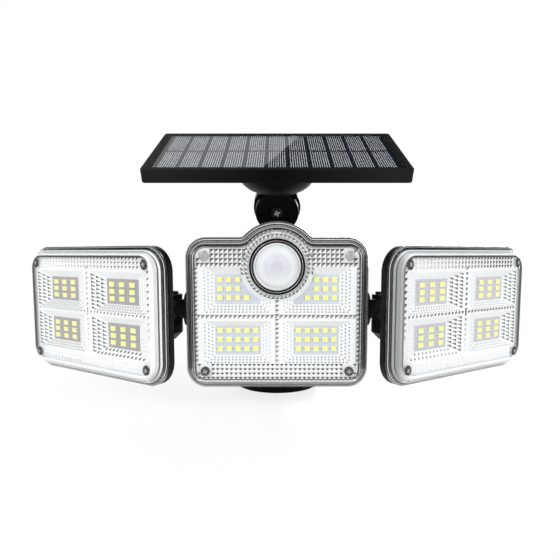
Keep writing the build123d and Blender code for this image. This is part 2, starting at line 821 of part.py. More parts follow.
# Tilt arm: barrel on the tilt bolt, stem and the knuckle's front lobe
with BuildPart() as tilt_arm:
    with BuildSketch(roll_plane.offset(washer_thickness)):
        Circle(knuckle_front_radius)
        with Locations((0, -knuckle_rise / 2)):
            Rectangle(eye_width, knuckle_rise)
    extrude(amount=lobe_thickness)
    with BuildSketch(Plane.YZ.offset(-eye_width / 2)):
        with Locations((tilt_back, tilt_height)):
            Circle(ear_radius)
    extrude(amount=eye_width)
    lobe_front = front_edges(tilt_arm, roll_plane).filter_by(GeomType.CIRCLE)
    fillet(lobe_front, lobe_thickness / 8)
    with BuildSketch(Plane.YZ.offset(-eye_width)):
        with Locations((tilt_back, tilt_height)):
            Circle(bore_radius)
    extrude(amount=2 * eye_width, mode=Mode.SUBTRACT)
    with Locations(roll_plane.offset(washer_thickness + lobe_thickness)):
        CounterBoreHole(
            knuckle_screw_radius + running_gap,
            knuckle_head_radius + drop_in_gap,
            knuckle_seat_depth,
            2 * lobe_thickness,
        )
save(tilt_arm.part, "tilt_arm")

with BuildPart() as knuckle_washer:
    with BuildSketch(roll_plane):
        Circle(washer_radius)
        Circle(knuckle_screw_radius + running_gap, mode=Mode.SUBTRACT)
    extrude(amount=washer_thickness)
save(knuckle_washer.part, "knuckle_washer")

knuckle_seat = washer_thickness + lobe_thickness - knuckle_seat_depth
nut_front = slip_gap + lobe_thickness + slip_gap
with BuildPart() as knuckle_screw:
    with BuildSketch(roll_plane.offset(knuckle_seat)):
        Circle(knuckle_head_radius)
    extrude(amount=knuckle_head_height)
    fillet(front_edges(knuckle_screw, roll_plane), knuckle_head_height / 3)
    with BuildSketch(roll_plane.offset(knuckle_seat)):
        Circle(knuckle_screw_radius)
    extrude(amount=-(knuckle_seat + nut_front + nut_height + bolt_end))
save(knuckle_screw.part, "knuckle_screw")

with BuildPart() as knuckle_nut:
    with BuildSketch(roll_plane.offset(-nut_front)):
        RegularPolygon(nut_radius, 6)
        Circle(knuckle_screw_radius + running_gap, mode=Mode.SUBTRACT)
    extrude(amount=-nut_height)
save(knuckle_nut.part, "knuckle_nut")

# Panel bracket: dish under the panel, neck and the knuckle's rear lobe
dish_bottom = panel_floor - dish_depth
panel_screws_at = [
    (panel_screw_circle / 2 * sx / sqrt(2), panel_screw_circle / 2 * sy / sqrt(2))
    for sx in (-1, 1)
    for sy in (-1, 1)
]
with BuildPart() as panel_bracket:
    with BuildSketch(panel_section):
        with BuildLine():
            top = Line((0, panel_floor), (dish_radius, panel_floor))
            edge = Line(top @ 1, (dish_radius, panel_floor - dish_edge))
            bowl = RadiusArc(edge @ 1, (dish_bottom_radius, dish_bottom), dish_depth)
            bottom = Line(bowl @ 1, (0, dish_bottom))
            Line(bottom @ 1, top @ 0)
        make_face()
    revolve(axis=panel_axis)
    with BuildSketch(roll_plane.offset(-slip_gap)):
        Circle(knuckle_rear_radius)
        with Locations((0, (panel_above_knuckle - dish_depth / 2) / 2)):
            Rectangle(neck_width, panel_above_knuckle - dish_depth / 2)
    extrude(amount=-lobe_thickness)
    with BuildSketch(roll_plane.offset(-slip_gap)):
        with Locations((0, panel_above_knuckle / 2)):
            Rectangle(neck_width, panel_above_knuckle - 2 * neck_shoulder)
        Circle(knuckle_front_radius + 2 * slip_gap, mode=Mode.SUBTRACT)
    extrude(amount=neck_front + slip_gap)
    with Locations(roll_plane.offset(-slip_gap)):
        Hole(knuckle_screw_radius + running_gap, 2 * lobe_thickness)
    with BuildSketch(tilt_plane.offset(panel_floor - panel_screw_grip)):
        with Locations(*panel_screws_at):
            Circle(screw_seat_radius)
    extrude(amount=-dish_depth, mode=Mode.SUBTRACT)
    with BuildSketch(tilt_plane.offset(panel_floor)):
        with Locations(*panel_screws_at):
            Circle(screw_radius + drop_in_gap)
    extrude(amount=-2 * panel_screw_grip, mode=Mode.SUBTRACT)
save(panel_bracket.part, "panel_bracket")

with BuildPart() as panel_screws:
    with BuildSketch(tilt_plane.offset(panel_floor - panel_screw_grip)):
        with Locations(*panel_screws_at):
            Circle(screw_radius)
    extrude(amount=panel_screw_grip + panel_screw_bite)
    with BuildSketch(tilt_plane.offset(panel_floor - panel_screw_grip)):
        with Locations(*panel_screws_at):
            Circle(screw_head_radius)
    extrude(amount=-screw_head_height)
save(panel_screws.part, "panel_screws")

# Panel: frame tray, cells and cover glass
recess_width = panel_width - 2 * panel_rim
recess_depth = panel_depth - 2 * panel_rim
cell_pitch = (recess_width - 2 * cell_margin - cell_width) / (cell_count - 1)
cell_length = recess_depth - 2 * cell_end_margin
glass_top = panel_top - glass_below_rim
cell_floor = glass_top - glass_thickness - cell_gap - cell_thickness
with BuildPart() as panel_frame:
    with BuildSketch(tilt_plane.offset(panel_floor)):
        RectangleRounded(panel_width, panel_depth, panel_corner)
    extrude(amount=panel_thickness)
    chamfer(back_edges(panel_frame, tilt_plane), panel_edge_bevel)
    with BuildSketch(tilt_plane.offset(cell_floor)):
        RectangleRounded(recess_width, recess_depth, panel_corner - panel_rim / 2)
    extrude(amount=panel_thickness, mode=Mode.SUBTRACT)
    with BuildSketch(tilt_plane.offset(panel_floor)):
        with Locations(*panel_screws_at):
            Circle(screw_radius + running_gap)
    extrude(amount=panel_screw_bite + slip_gap, mode=Mode.SUBTRACT)
save(panel_frame.part, "panel_frame")

with BuildPart() as solar_cells:
    with BuildSketch(tilt_plane.offset(cell_floor)):
        with GridLocations(cell_pitch, cell_length, cell_count, 1):
            Rectangle(cell_width, cell_length)
    extrude(amount=cell_thickness)
save(solar_cells.part, "solar_cells")

with BuildPart() as panel_glass:
    with BuildSketch(tilt_plane.offset(glass_top - glass_thickness)):
        RectangleRounded(
            recess_width - 2 * drop_in_gap,
            recess_depth - 2 * drop_in_gap,
            panel_corner - panel_rim / 2 - drop_in_gap,
        )
    extrude(amount=glass_thickness)
save(panel_glass.part, "panel_glass")
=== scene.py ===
"""Looks of a three-lamp solar floodlight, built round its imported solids."""

import logging
from dataclasses import dataclass
from enum import Enum
from math import atan2, cos, pi, radians, sin, sqrt
from typing import Any, Iterable, Optional, Sequence, Union

import bpy
from mathutils import Matrix, Vector


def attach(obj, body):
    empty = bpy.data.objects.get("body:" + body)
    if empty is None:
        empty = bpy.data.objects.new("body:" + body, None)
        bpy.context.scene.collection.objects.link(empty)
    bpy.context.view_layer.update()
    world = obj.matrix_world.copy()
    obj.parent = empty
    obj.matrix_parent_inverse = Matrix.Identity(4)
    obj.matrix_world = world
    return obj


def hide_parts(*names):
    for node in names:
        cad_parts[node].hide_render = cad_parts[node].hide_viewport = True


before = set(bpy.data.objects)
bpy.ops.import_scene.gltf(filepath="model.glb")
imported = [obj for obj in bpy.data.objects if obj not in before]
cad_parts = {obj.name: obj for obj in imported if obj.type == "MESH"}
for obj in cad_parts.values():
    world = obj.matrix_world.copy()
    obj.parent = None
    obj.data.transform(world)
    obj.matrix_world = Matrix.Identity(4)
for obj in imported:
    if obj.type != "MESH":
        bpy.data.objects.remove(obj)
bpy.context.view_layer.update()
log = logging.getLogger("floodlight")

Colour = tuple[float, float, float]
Point = tuple[float, float, float]
FourSides = tuple[float, float, float, float]
Pair = tuple[float, float]
# Metres in a millimetre, and the thickness in millimetres of a rim strip that is only a film
MM = 0.001
FILM = 0.05


class Expr:
    """A node socket that takes part in Python arithmetic."""

    def __init__(self, canvas: "Canvas", socket: bpy.types.NodeSocket) -> None:
        """Keep the socket and the canvas that it is drawn on."""
        self.canvas = canvas
        self.socket = socket

    def _math(self, operation: str, first: Any, second: Any) -> "Expr":
        """Add a Math node.

        Args:
            operation: Name of the Math node's operation.
            first: First number or expression.
            second: Second number or expression.

        Returns:
            The result as an expression.
        """
        return self.canvas.add("ShaderNodeMath", {"operation": operation}, {0: first, 1: second})

    def __add__(self, other: Any) -> "Expr":
        """Sum."""
        return self._math("ADD", self, other)

    def __radd__(self, other: Any) -> "Expr":
        """Sum with a number on the left."""
        return self._math("ADD", other, self)

    def __sub__(self, other: Any) -> "Expr":
        """Difference."""
        return self._math("SUBTRACT", self, other)

    def __rsub__(self, other: Any) -> "Expr":
        """Difference from a number on the left."""
        return self._math("SUBTRACT", other, self)

    def __mul__(self, other: Any) -> "Expr":
        """Product."""
        return self._math("MULTIPLY", self, other)

    def __rmul__(self, other: Any) -> "Expr":
        """Product with a number on the left."""
        return self._math("MULTIPLY", other, self)

    def __gt__(self, other: Any) -> "Expr":
        """One where this is greater, else zero."""
        return self._math("GREATER_THAN", self, other)

    def __lt__(self, other: Any) -> "Expr":
        """One where this is less, else zero."""
        return self._math("LESS_THAN", self, other)

    def either(self, other: Any) -> "Expr":
        """The greater of two values."""
        return self._math("MAXIMUM", self, other)

    def repeat(self, period: float) -> "Expr":
        """The value wrapped into one period."""
        return self._math("FLOORED_MODULO", self, period)

    def is_number(self, number: float) -> "Expr":
        """One where this is close to a whole number, else zero."""
        return (self - number + 0.5).between(0.0, 1.0)

    def between(self, low: float, high: float) -> "Expr":
        """One inside a span, else zero."""
        return (self > low) * (self < high)


class Canvas:
    """A node tree that nodes are added to by type, settings and sockets."""

    def __init__(self, tree: bpy.types.NodeTree) -> None:
        """Keep the tree."""
        self.tree = tree

    def add(
        self,
        kind: str,
        settings: Optional[dict[str, Any]] = None,
        inputs: Optional[dict[Union[int, str], Any]] = None,
        out: Union[int, str] = 0,
    ) -> Expr:
        """Add one node.

        Args:
            kind: Blender's type name of the node.
            settings: Properties set first; "stops" are a ramp's positions and colours.
            inputs: Values or expressions by socket name or number.
            out: Name or number of the output that is wanted.

        Returns:
            The chosen output as an expression.
        """
        node = self.tree.nodes.new(kind)
        for key, value in (settings or {}).items():
            if key == "stops":
                self._stops(node.color_ramp, value)
            else:
                setattr(node, key, value)
        for key, value in (inputs or {}).items():
            if isinstance(value, Expr):
                self.tree.links.new(value.socket, node.inputs[key])
            else:
                node.inputs[key].default_value = value
        return Expr(self, node.outputs[out])

    def end(self, kind: str, result: Expr) -> None:
        """Add the tree's last node.

        Args:
            kind: Blender's type name of the node.
            result: What its first input takes.
        """
        node = self.tree.nodes.new(kind)
        self.tree.links.new(result.socket, node.inputs[0])

    def _stops(self, ramp: bpy.types.ColorRamp, stops: Sequence[tuple[float, Colour]]) -> None:
        """Set a colour ramp's stops.

        Args:
            ramp: The ramp.
            stops: Positions and colours.
        """
        while len(ramp.elements) < len(stops):
            ramp.elements.new(1.0)
        for element, (place, colour) in zip(ramp.elements, stops):
            element.position = place
            element.color = (*colour, 1.0)

    def mix(self, factor: Any, first: Any, second: Any) -> Expr:
        """Blend two colours.

        Args:
            factor: Share of the second colour.
            first: Colour at zero.
            second: Colour at one.

        Returns:
            The blended colour.
        """
        pair = [(*c, 1.0) if isinstance(c, tuple) and len(c) == 3 else c for c in (first, second)]
        return self.add("ShaderNodeMix", {"data_type": "RGBA"}, {0: factor, 6: pair[0], 7: pair[1]}, 2)

    def coords(self) -> Expr:
        """Object coordinates."""
        return self.add("ShaderNodeTexCoord", out="Object")

    def part(self, vector: Expr, axis: str) -> Expr:
        """One component of a vector."""
        return self.add("ShaderNodeSeparateXYZ", None, {0: vector}, axis)

    def length(self, vector: Expr) -> Expr:
        """Length of a vector."""
        return self.add("ShaderNodeVectorMath", {"operation": "LENGTH"}, {0: vector}, "Value")

    def ramp(self, value: Expr, low: float, high: float) -> Expr:
        """Zero at a low value and one at a high value."""
        return self.add("ShaderNodeMapRange", None, {0: value, 1: low, 2: high})

    def ray(self, kind: str) -> Expr:
        """One for rays of a kind, else zero."""
        return self.add("ShaderNodeLightPath", out=f"Is {kind} Ray")


@dataclass(frozen=True)
class Finish:
    """A surface finish that becomes one material.

    In all finishes, a noise or pattern of a scale has features of about 1 / scale metres.
    """

    name: str
    colour: Colour
    roughness: float = 0.5
    metallic: float = 0.0

    def material(self) -> bpy.types.Material:
        """Make the material, or find it if it was made before.

        Returns:
            The material.
        """
        found = bpy.data.materials.get(self.name)
        if found:
            return found
        material = bpy.data.materials.new(self.name)
        material.use_nodes = True
        material.diffuse_color = (*self.colour, 1.0)
        tree = material.node_tree
        tree.nodes.clear()
        canvas = Canvas(tree)
        shader = canvas.add(
            "ShaderNodeBsdfPrincipled",
            None,
            {"Base Color": (*self.colour, 1.0), "Roughness": self.roughness, "Metallic": self.metallic},
        )
        surface = self.dress(canvas, shader) or shader
        canvas.end("ShaderNodeOutputMaterial", surface)
        return material

    def dress(self, canvas: Canvas, shader: Expr) -> Optional[Expr]:
        """Add the finish's own detail to the shader."""
        return None

    def place(self, canvas: Canvas, turn: Point = (0.0, 0.0, 0.0), origin: Point = (0.0, 0.0, 0.0)) -> Expr:
        """Object coordinates about an origin and along turned axes.

        Args:
            canvas: Node tree to draw on.
            turn: Angles of the axes in radians.
            origin: Point in metres that becomes zero.

        Returns:
            The coordinates.
        """
        inputs = {"Vector": canvas.coords(), "Location": origin, "Rotation": turn}
        return canvas.add("ShaderNodeMapping", {"vector_type": "TEXTURE"}, inputs)

    def noise(self, canvas: Canvas, scale: float, detail: float = 3.0) -> Expr:
        """Noise over the surface, of a scale."""
        inputs = {"Vector": canvas.coords(), "Scale": scale, "Detail": detail}
        return canvas.add("ShaderNodeTexNoise", None, inputs)

    def connect(self, shader: Expr, name: str, value: Expr) -> None:
        """Link an expression to one of the shader's inputs."""
        value.canvas.tree.links.new(value.socket, shader.socket.node.inputs[name])

    def bump(self, shader: Expr, height: Expr, strength: float, distance: float) -> None:
        """Raise the surface by a height expression.

        Args:
            shader: The shader that is dressed.
            height: How far it is raised, from 0 to 1.
            strength: Share of the effect.
            distance: Height in metres at 1.
        """
        canvas = height.canvas
        settings = {"Strength": strength, "Distance": distance, "Height": height}
        self.connect(shader, "Normal", canvas.add("ShaderNodeBump", None, settings))

    def dull(self, shader: Expr, sheen: float) -> None:
        """Set how much the surface mirrors, where a half is plain plastic."""
        shader.socket.node.inputs["Specular IOR Level"].default_value = sheen

    def gloss(self, shader: Expr, noise: Expr, spread: float, drop: float) -> None:
        """Let noise change the roughness by a spread, from a drop below the finish's own."""
        self.connect(shader, "Roughness", noise * spread + (self.roughness - drop))

    def shade(self, factor: float) -> Colour:
        """The finish's colour times a factor."""
        return tuple(c * factor for c in self.colour)


@dataclass(frozen=True)
class MouldedPlastic(Finish):
    """Satin moulded plastic with a fine spark-eroded grain and a little dust."""

    grain: float = 2200.0
    dust: float = 0.006
    sheen: float = 0.22
    cloud: float = 26.0
    relief: float = 0.00012

    def dress(self, canvas: Canvas, shader: Expr) -> None:
        """Grain in the bump, drift in gloss and colour.

        Args:
            canvas: Node tree to draw on.
            shader: The shader that is dressed.
        """
        self.dull(shader, self.sheen)
        grain = self.noise(canvas, self.grain)
        drift = self.noise(canvas, self.cloud, 4.0)
        pale = tuple(c + self.dust for c in self.colour)
        self.connect(shader, "Base Color", canvas.mix(drift, self.colour, pale))
        self.connect(shader, "Roughness", drift * 0.16 + grain * 0.06 + (self.roughness - 0.1))
        self.bump(shader, grain, 0.12, self.relief)


@dataclass(frozen=True)
class FramePlastic(MouldedPlastic):
    """Moulded plastic with painted light: its colour is paler towards the ends of a long bar."""

    # Colour at the ends of the bar, paler as painted light
    end: Colour = (0.014, 0.014, 0.014)
    reach: float = 0.07

    def dress(self, canvas: Canvas, shader: Expr) -> None:
        """Painted light: a slow change of shade from the middle to the ends.

        Args:
            canvas: Node tree to draw on.
            shader: The shader that is dressed.
        """
        super().dress(canvas, shader)
        across = canvas.part(canvas.coords(), "X")
        share = canvas.ramp(across.either(across * -1.0), 0.0, self.reach)
        self.connect(shader, "Base Color", canvas.mix(share, self.colour, self.end))


@dataclass(frozen=True)
class SealRubber(Finish):
    """Soft grey seal with painted shade: its colour runs darker towards the top of a lamp."""

    top: Colour = (0.06, 0.06, 0.062)
    span: Pair = (0.015, 0.11)
    sheen: float = 0.5
    grain: float = 1400.0

    def dress(self, canvas: Canvas, shader: Expr) -> None:
        """A slow change of shade with height, which is painted shade, and a fine grain.

        Args:
            canvas: Node tree to draw on.
            shader: The shader that is dressed.
        """
        self.dull(shader, self.sheen)
        # Painted shade: the colour darkens with height
        share = canvas.ramp(canvas.part(canvas.coords(), "Z"), *self.span)
        grain = self.noise(canvas, self.grain)
        self.connect(shader, "Base Color", canvas.mix(share + grain * 0.04, self.colour, self.top))
        self.gloss(shader, grain, 0.15, 0.07)


@dataclass(frozen=True)
class PlatedSteel(Finish):
    """Plated steel with fine turning marks and darker blotches."""

    marks: float = 3000.0
    blotches: float = 420.0
    deep: float = 0.72

    def dress(self, canvas: Canvas, shader: Expr) -> None:
        """Blotches in the colour and fine marks in the gloss.

        Args:
            canvas: Node tree to draw on.
            shader: The shader that is dressed.
        """
        blotches = self.noise(canvas, self.blotches)
        self.connect(shader, "Base Color", canvas.mix(blotches, self.shade(self.deep), self.colour))
        self.gloss(shader, self.noise(canvas, self.marks, 2.0), 0.2, 0.08)


@dataclass(frozen=True)
class ShadedSteel(PlatedSteel):
    """Plated steel of screws with a painted reflection: paler above a height."""

    top: Colour = (0.46, 0.46, 0.47)
    span: Pair = (0.045, 0.055)

    def dress(self, canvas: Canvas, shader: Expr) -> None:
        """A painted reflection: a change of shade with height.

        Args:
            canvas: Node tree to draw on.
            shader: The shader that is dressed.
        """
        super().dress(canvas, shader)
        share = canvas.ramp(canvas.part(canvas.coords(), "Z"), *self.span)
        self.connect(shader, "Base Color", canvas.mix(share, self.colour, self.top))


@dataclass(frozen=True)
class ClearPlastic(Finish):
    """Clear moulded plastic or glass that lets light through to what is behind."""

    index: float = 1.45
    passage: Colour = (0.97, 0.98, 0.98)
    haze: float = 900.0

    def dress(self, canvas: Canvas, shader: Expr) -> Expr:
        """Refraction for what is looked at, and free passage for light.

        Args:
            canvas: Node tree to draw on.
            shader: The shader that is dressed.

        Returns:
            The surface that takes the shader's place.
        """
        node = shader.socket.node
        node.inputs["Transmission Weight"].default_value = 1.0
        node.inputs["IOR"].default_value = self.index
        self.gloss(shader, self.noise(canvas, self.haze), 0.008, 0.0)
        free = canvas.ray("Shadow").either(canvas.ray("Diffuse"))
        clear = canvas.add("ShaderNodeBsdfTransparent", None, {"Color": (*self.passage, 1.0)})
        return canvas.add("ShaderNodeMixShader", None, {0: free, 1: shader, 2: clear})


@dataclass(frozen=True)
class WhiteTray(Finish):
    """Bright white moulding, faintly uneven."""

    cloud: float = 60.0
    ripple: float = 1200.0
    dim: float = 0.965

    def dress(self, canvas: Canvas, shader: Expr) -> None:
        """A slow drift in shade and a fine ripple.

        Args:
            canvas: Node tree to draw on.
            shader: The shader that is dressed.
        """
        drift = self.noise(canvas, self.cloud)
        self.connect(shader, "Base Color", canvas.mix(drift, self.colour, self.shade(self.dim)))
        self.gloss(shader, drift, 0.12, 0.06)
        self.bump(shader, self.noise(canvas, self.ripple), 0.05, 0.0001)


@dataclass(frozen=True)
class BoardMask(Finish):
    """Solder mask with copper runs, set run metres apart, showing faintly through it."""

    run: float = 0.0028
    turn: float = 0.0
    speckle: float = 1500.0
    pale: float = 1.07

    def dress(self, canvas: Canvas, shader: Expr) -> None:
        """Straight runs across the board and a fine speckle.

        Args:
            canvas: Node tree to draw on.
            shader: The shader that is dressed.
        """
        coords = self.place(canvas, (0.0, 0.0, self.turn))
        across, up = canvas.part(coords, "X"), canvas.part(coords, "Z")
        lines = (up.repeat(self.run) < self.run * 0.3).either(across.repeat(self.run * 4) < self.run * 0.25)
        speckle = self.noise(canvas, self.speckle)
        share = lines * 0.6 + speckle * 0.4
        self.connect(shader, "Base Color", canvas.mix(share, self.colour, self.shade(self.pale)))
        self.gloss(shader, speckle, 0.2, 0.1)
        self.bump(shader, lines, 0.3, 0.00006)


@dataclass(frozen=True)
class TintedChip(Finish):
    """Phosphor of a light chip, a little different from chip to chip."""

    warm: Colour = (0.98, 0.86, 0.24)
    green: Colour = (0.88, 0.97, 0.18)
    grain: float = 2600.0

    def dress(self, canvas: Canvas, shader: Expr) -> None:
        """Colour from the chip's own number.

        Args:
            canvas: Node tree to draw on.
            shader: The shader that is dressed.
        """
        tint = canvas.add("ShaderNodeAttribute", {"attribute_name": "tint"}, None, "Fac")
        stops = [(0.0, self.warm), (0.3, self.colour), (0.7, self.colour), (1.0, self.green)]
        base = canvas.add("ShaderNodeValToRGB", {"stops": stops}, {0: tint})
        grain = self.noise(canvas, self.grain)
        pale = tuple(0.5 + c / 2 for c in self.colour)
        self.connect(shader, "Base Color", canvas.mix(grain * 0.35, base, pale))
        self.gloss(shader, grain, 0.2, 0.1)


@dataclass(frozen=True)
class PrismFacet(Finish):
    """Facet of a moulded prism, whose painted shade, standing in for the dark that the clear prism shows,
    is written on each prism.
    """

    tone: str = "up_tone"
    dark: Colour = (0.014, 0.012, 0.01)
    sheen: float = 0.08
    grain: float = 700.0

    def dress(self, canvas: Canvas, shader: Expr) -> None:
        """Blend from painted shade to white by the prism's tone.

        Args:
            canvas: Node tree to draw on.
            shader: The shader that is dressed.
        """
        self.dull(shader, self.sheen)
        tone = canvas.add("ShaderNodeAttribute", {"attribute_name": self.tone}, None, "Fac")
        grain = self.noise(canvas, self.grain) * 0.06
        self.connect(shader, "Base Color", canvas.mix(tone + grain, self.dark, self.colour))
        self.connect(shader, "Roughness", grain + self.roughness)


@dataclass(frozen=True)
class Silicon(Finish):
    """Dark cell with a faint crystal grain."""

    patches: float = 240.0
    bright: float = 2.2

    def dress(self, canvas: Canvas, shader: Expr) -> None:
        """Crystal patches in the colour and the gloss.

        Args:
            canvas: Node tree to draw on.
            shader: The shader that is dressed.
        """
        inputs = {"Vector": canvas.coords(), "Scale": self.patches}
        depth = canvas.part(canvas.add("ShaderNodeTexVoronoi", None, inputs, "Color"), "X")
        self.connect(shader, "Base Color", canvas.mix(depth * 0.6, self.colour, self.shade(self.bright)))
        self.gloss(shader, depth, 0.12, 0.0)


@dataclass(frozen=True)
class MilkyDome(Finish):
    """Milky translucent dome, whose colour runs in rings of painted light and shade: a painted highlight at
    the crown, a darker core, paler bands, painted shade in its groove and a grey rim, and painted light
    over its lower part.

    How deep light goes, the height of the dome's middle and the radius that the rings reach are in metres.
    """

    depth: float = 0.002
    middle: float = 0.0903
    reach: float = 0.016
    weight: float = 0.35
    cloud: float = 130.0
    # The rim colour is painted shade at the dome's edge; the low colour is painted light over its lower
    # part
    rim: Colour = (0.62, 0.61, 0.60)
    low: Colour = (0.97, 0.98, 1.0)

    def dress(self, canvas: Canvas, shader: Expr) -> None:
        """Light scatters under the skin, the skin ripples a little, and painted light and shade run through
        its colour.

        Args:
            canvas: Node tree to draw on.
            shader: The shader that is dressed.
        """
        node = shader.socket.node
        node.inputs["Subsurface Weight"].default_value = self.weight
        node.inputs["Subsurface Scale"].default_value = self.depth
        drift = self.noise(canvas, self.cloud, 2.0)
        coords = self.place(canvas, origin=(0.0, 0.0, self.middle))
        facing = {0: coords, 1: (1.0, 0.0, 1.0)}
        flat = canvas.add("ShaderNodeVectorMath", {"operation": "MULTIPLY"}, facing)
        away = canvas.length(flat) * (1 / self.reach)
        pale = tuple(1.0 - (1.0 - c) * 0.4 for c in self.colour)
        line, core = self.shade(0.62), self.shade(0.88)
        # Rings of painted light and shade: a painted highlight at the crown, painted shade in the groove
        # and a grey rim
        stops = [
            (0.0, (1.0, 1.0, 1.0)), (0.02, core), (0.16, core), (0.32, self.colour), (0.45, self.colour),
            (0.62, pale), (0.81, pale), (0.84, line), (0.87, pale), (0.93, self.rim),
        ]
        rings = canvas.add("ShaderNodeValToRGB", {"stops": stops}, {0: away})
        # Painted light: the lower part of the dome is paler
        painted_light_below = canvas.ramp(canvas.part(coords, "Z"), 0.0, -self.reach)
        tone = canvas.mix(painted_light_below * 0.9, canvas.mix(drift * 0.2, rings, self.colour), self.low)
        self.connect(shader, "Base Color", tone)
        self.gloss(shader, drift, 0.1, 0.05)


@dataclass(frozen=True)
class PrintedSilver(Finish):
    """Silver lines printed on a cell."""

    patches: float = 1600.0
    thin: float = 0.82

    def dress(self, canvas: Canvas, shader: Expr) -> None:
        """A slightly patchy print.

        Args:
            canvas: Node tree to draw on.
            shader: The shader that is dressed.
        """
        patch = self.noise(canvas, self.patches)
        self.connect(shader, "Base Color", canvas.mix(patch, self.colour, self.shade(self.thin)))
        self.gloss(shader, patch, 0.2, 0.1)


@dataclass(frozen=True)
class PaleFloor(Finish):
    """Studio floor that runs out to plain white away from the part.

    Where the white starts and is full, in metres from the middle, and its share at the middle.
    """

    near: float = 0.1
    far: float = 0.3
    veil: float = 0.8

    def dress(self, canvas: Canvas, shader: Expr) -> Expr:
        """The floor's own surface near the part, and white where it is only looked at further out.

        Args:
            canvas: Node tree to draw on.
            shader: The shader that is dressed.

        Returns:
            The surface that takes the shader's place.
        """
        inputs = {0: canvas.length(canvas.coords()), 1: self.near, 2: self.far}
        spread = canvas.add("ShaderNodeMapRange", {"interpolation_type": "SMOOTHSTEP"}, inputs)
        seen = canvas.ray("Camera")
        for kind in ("Glossy", "Transmission"):
            seen = seen.either(canvas.ray(kind))
        white = canvas.add("ShaderNodeEmission", None, {"Strength": 1.0})
        share = spread * (1.0 - self.veil) + self.veil
        return canvas.add("ShaderNodeMixShader", None, {0: seen * share, 1: shader, 2: white})


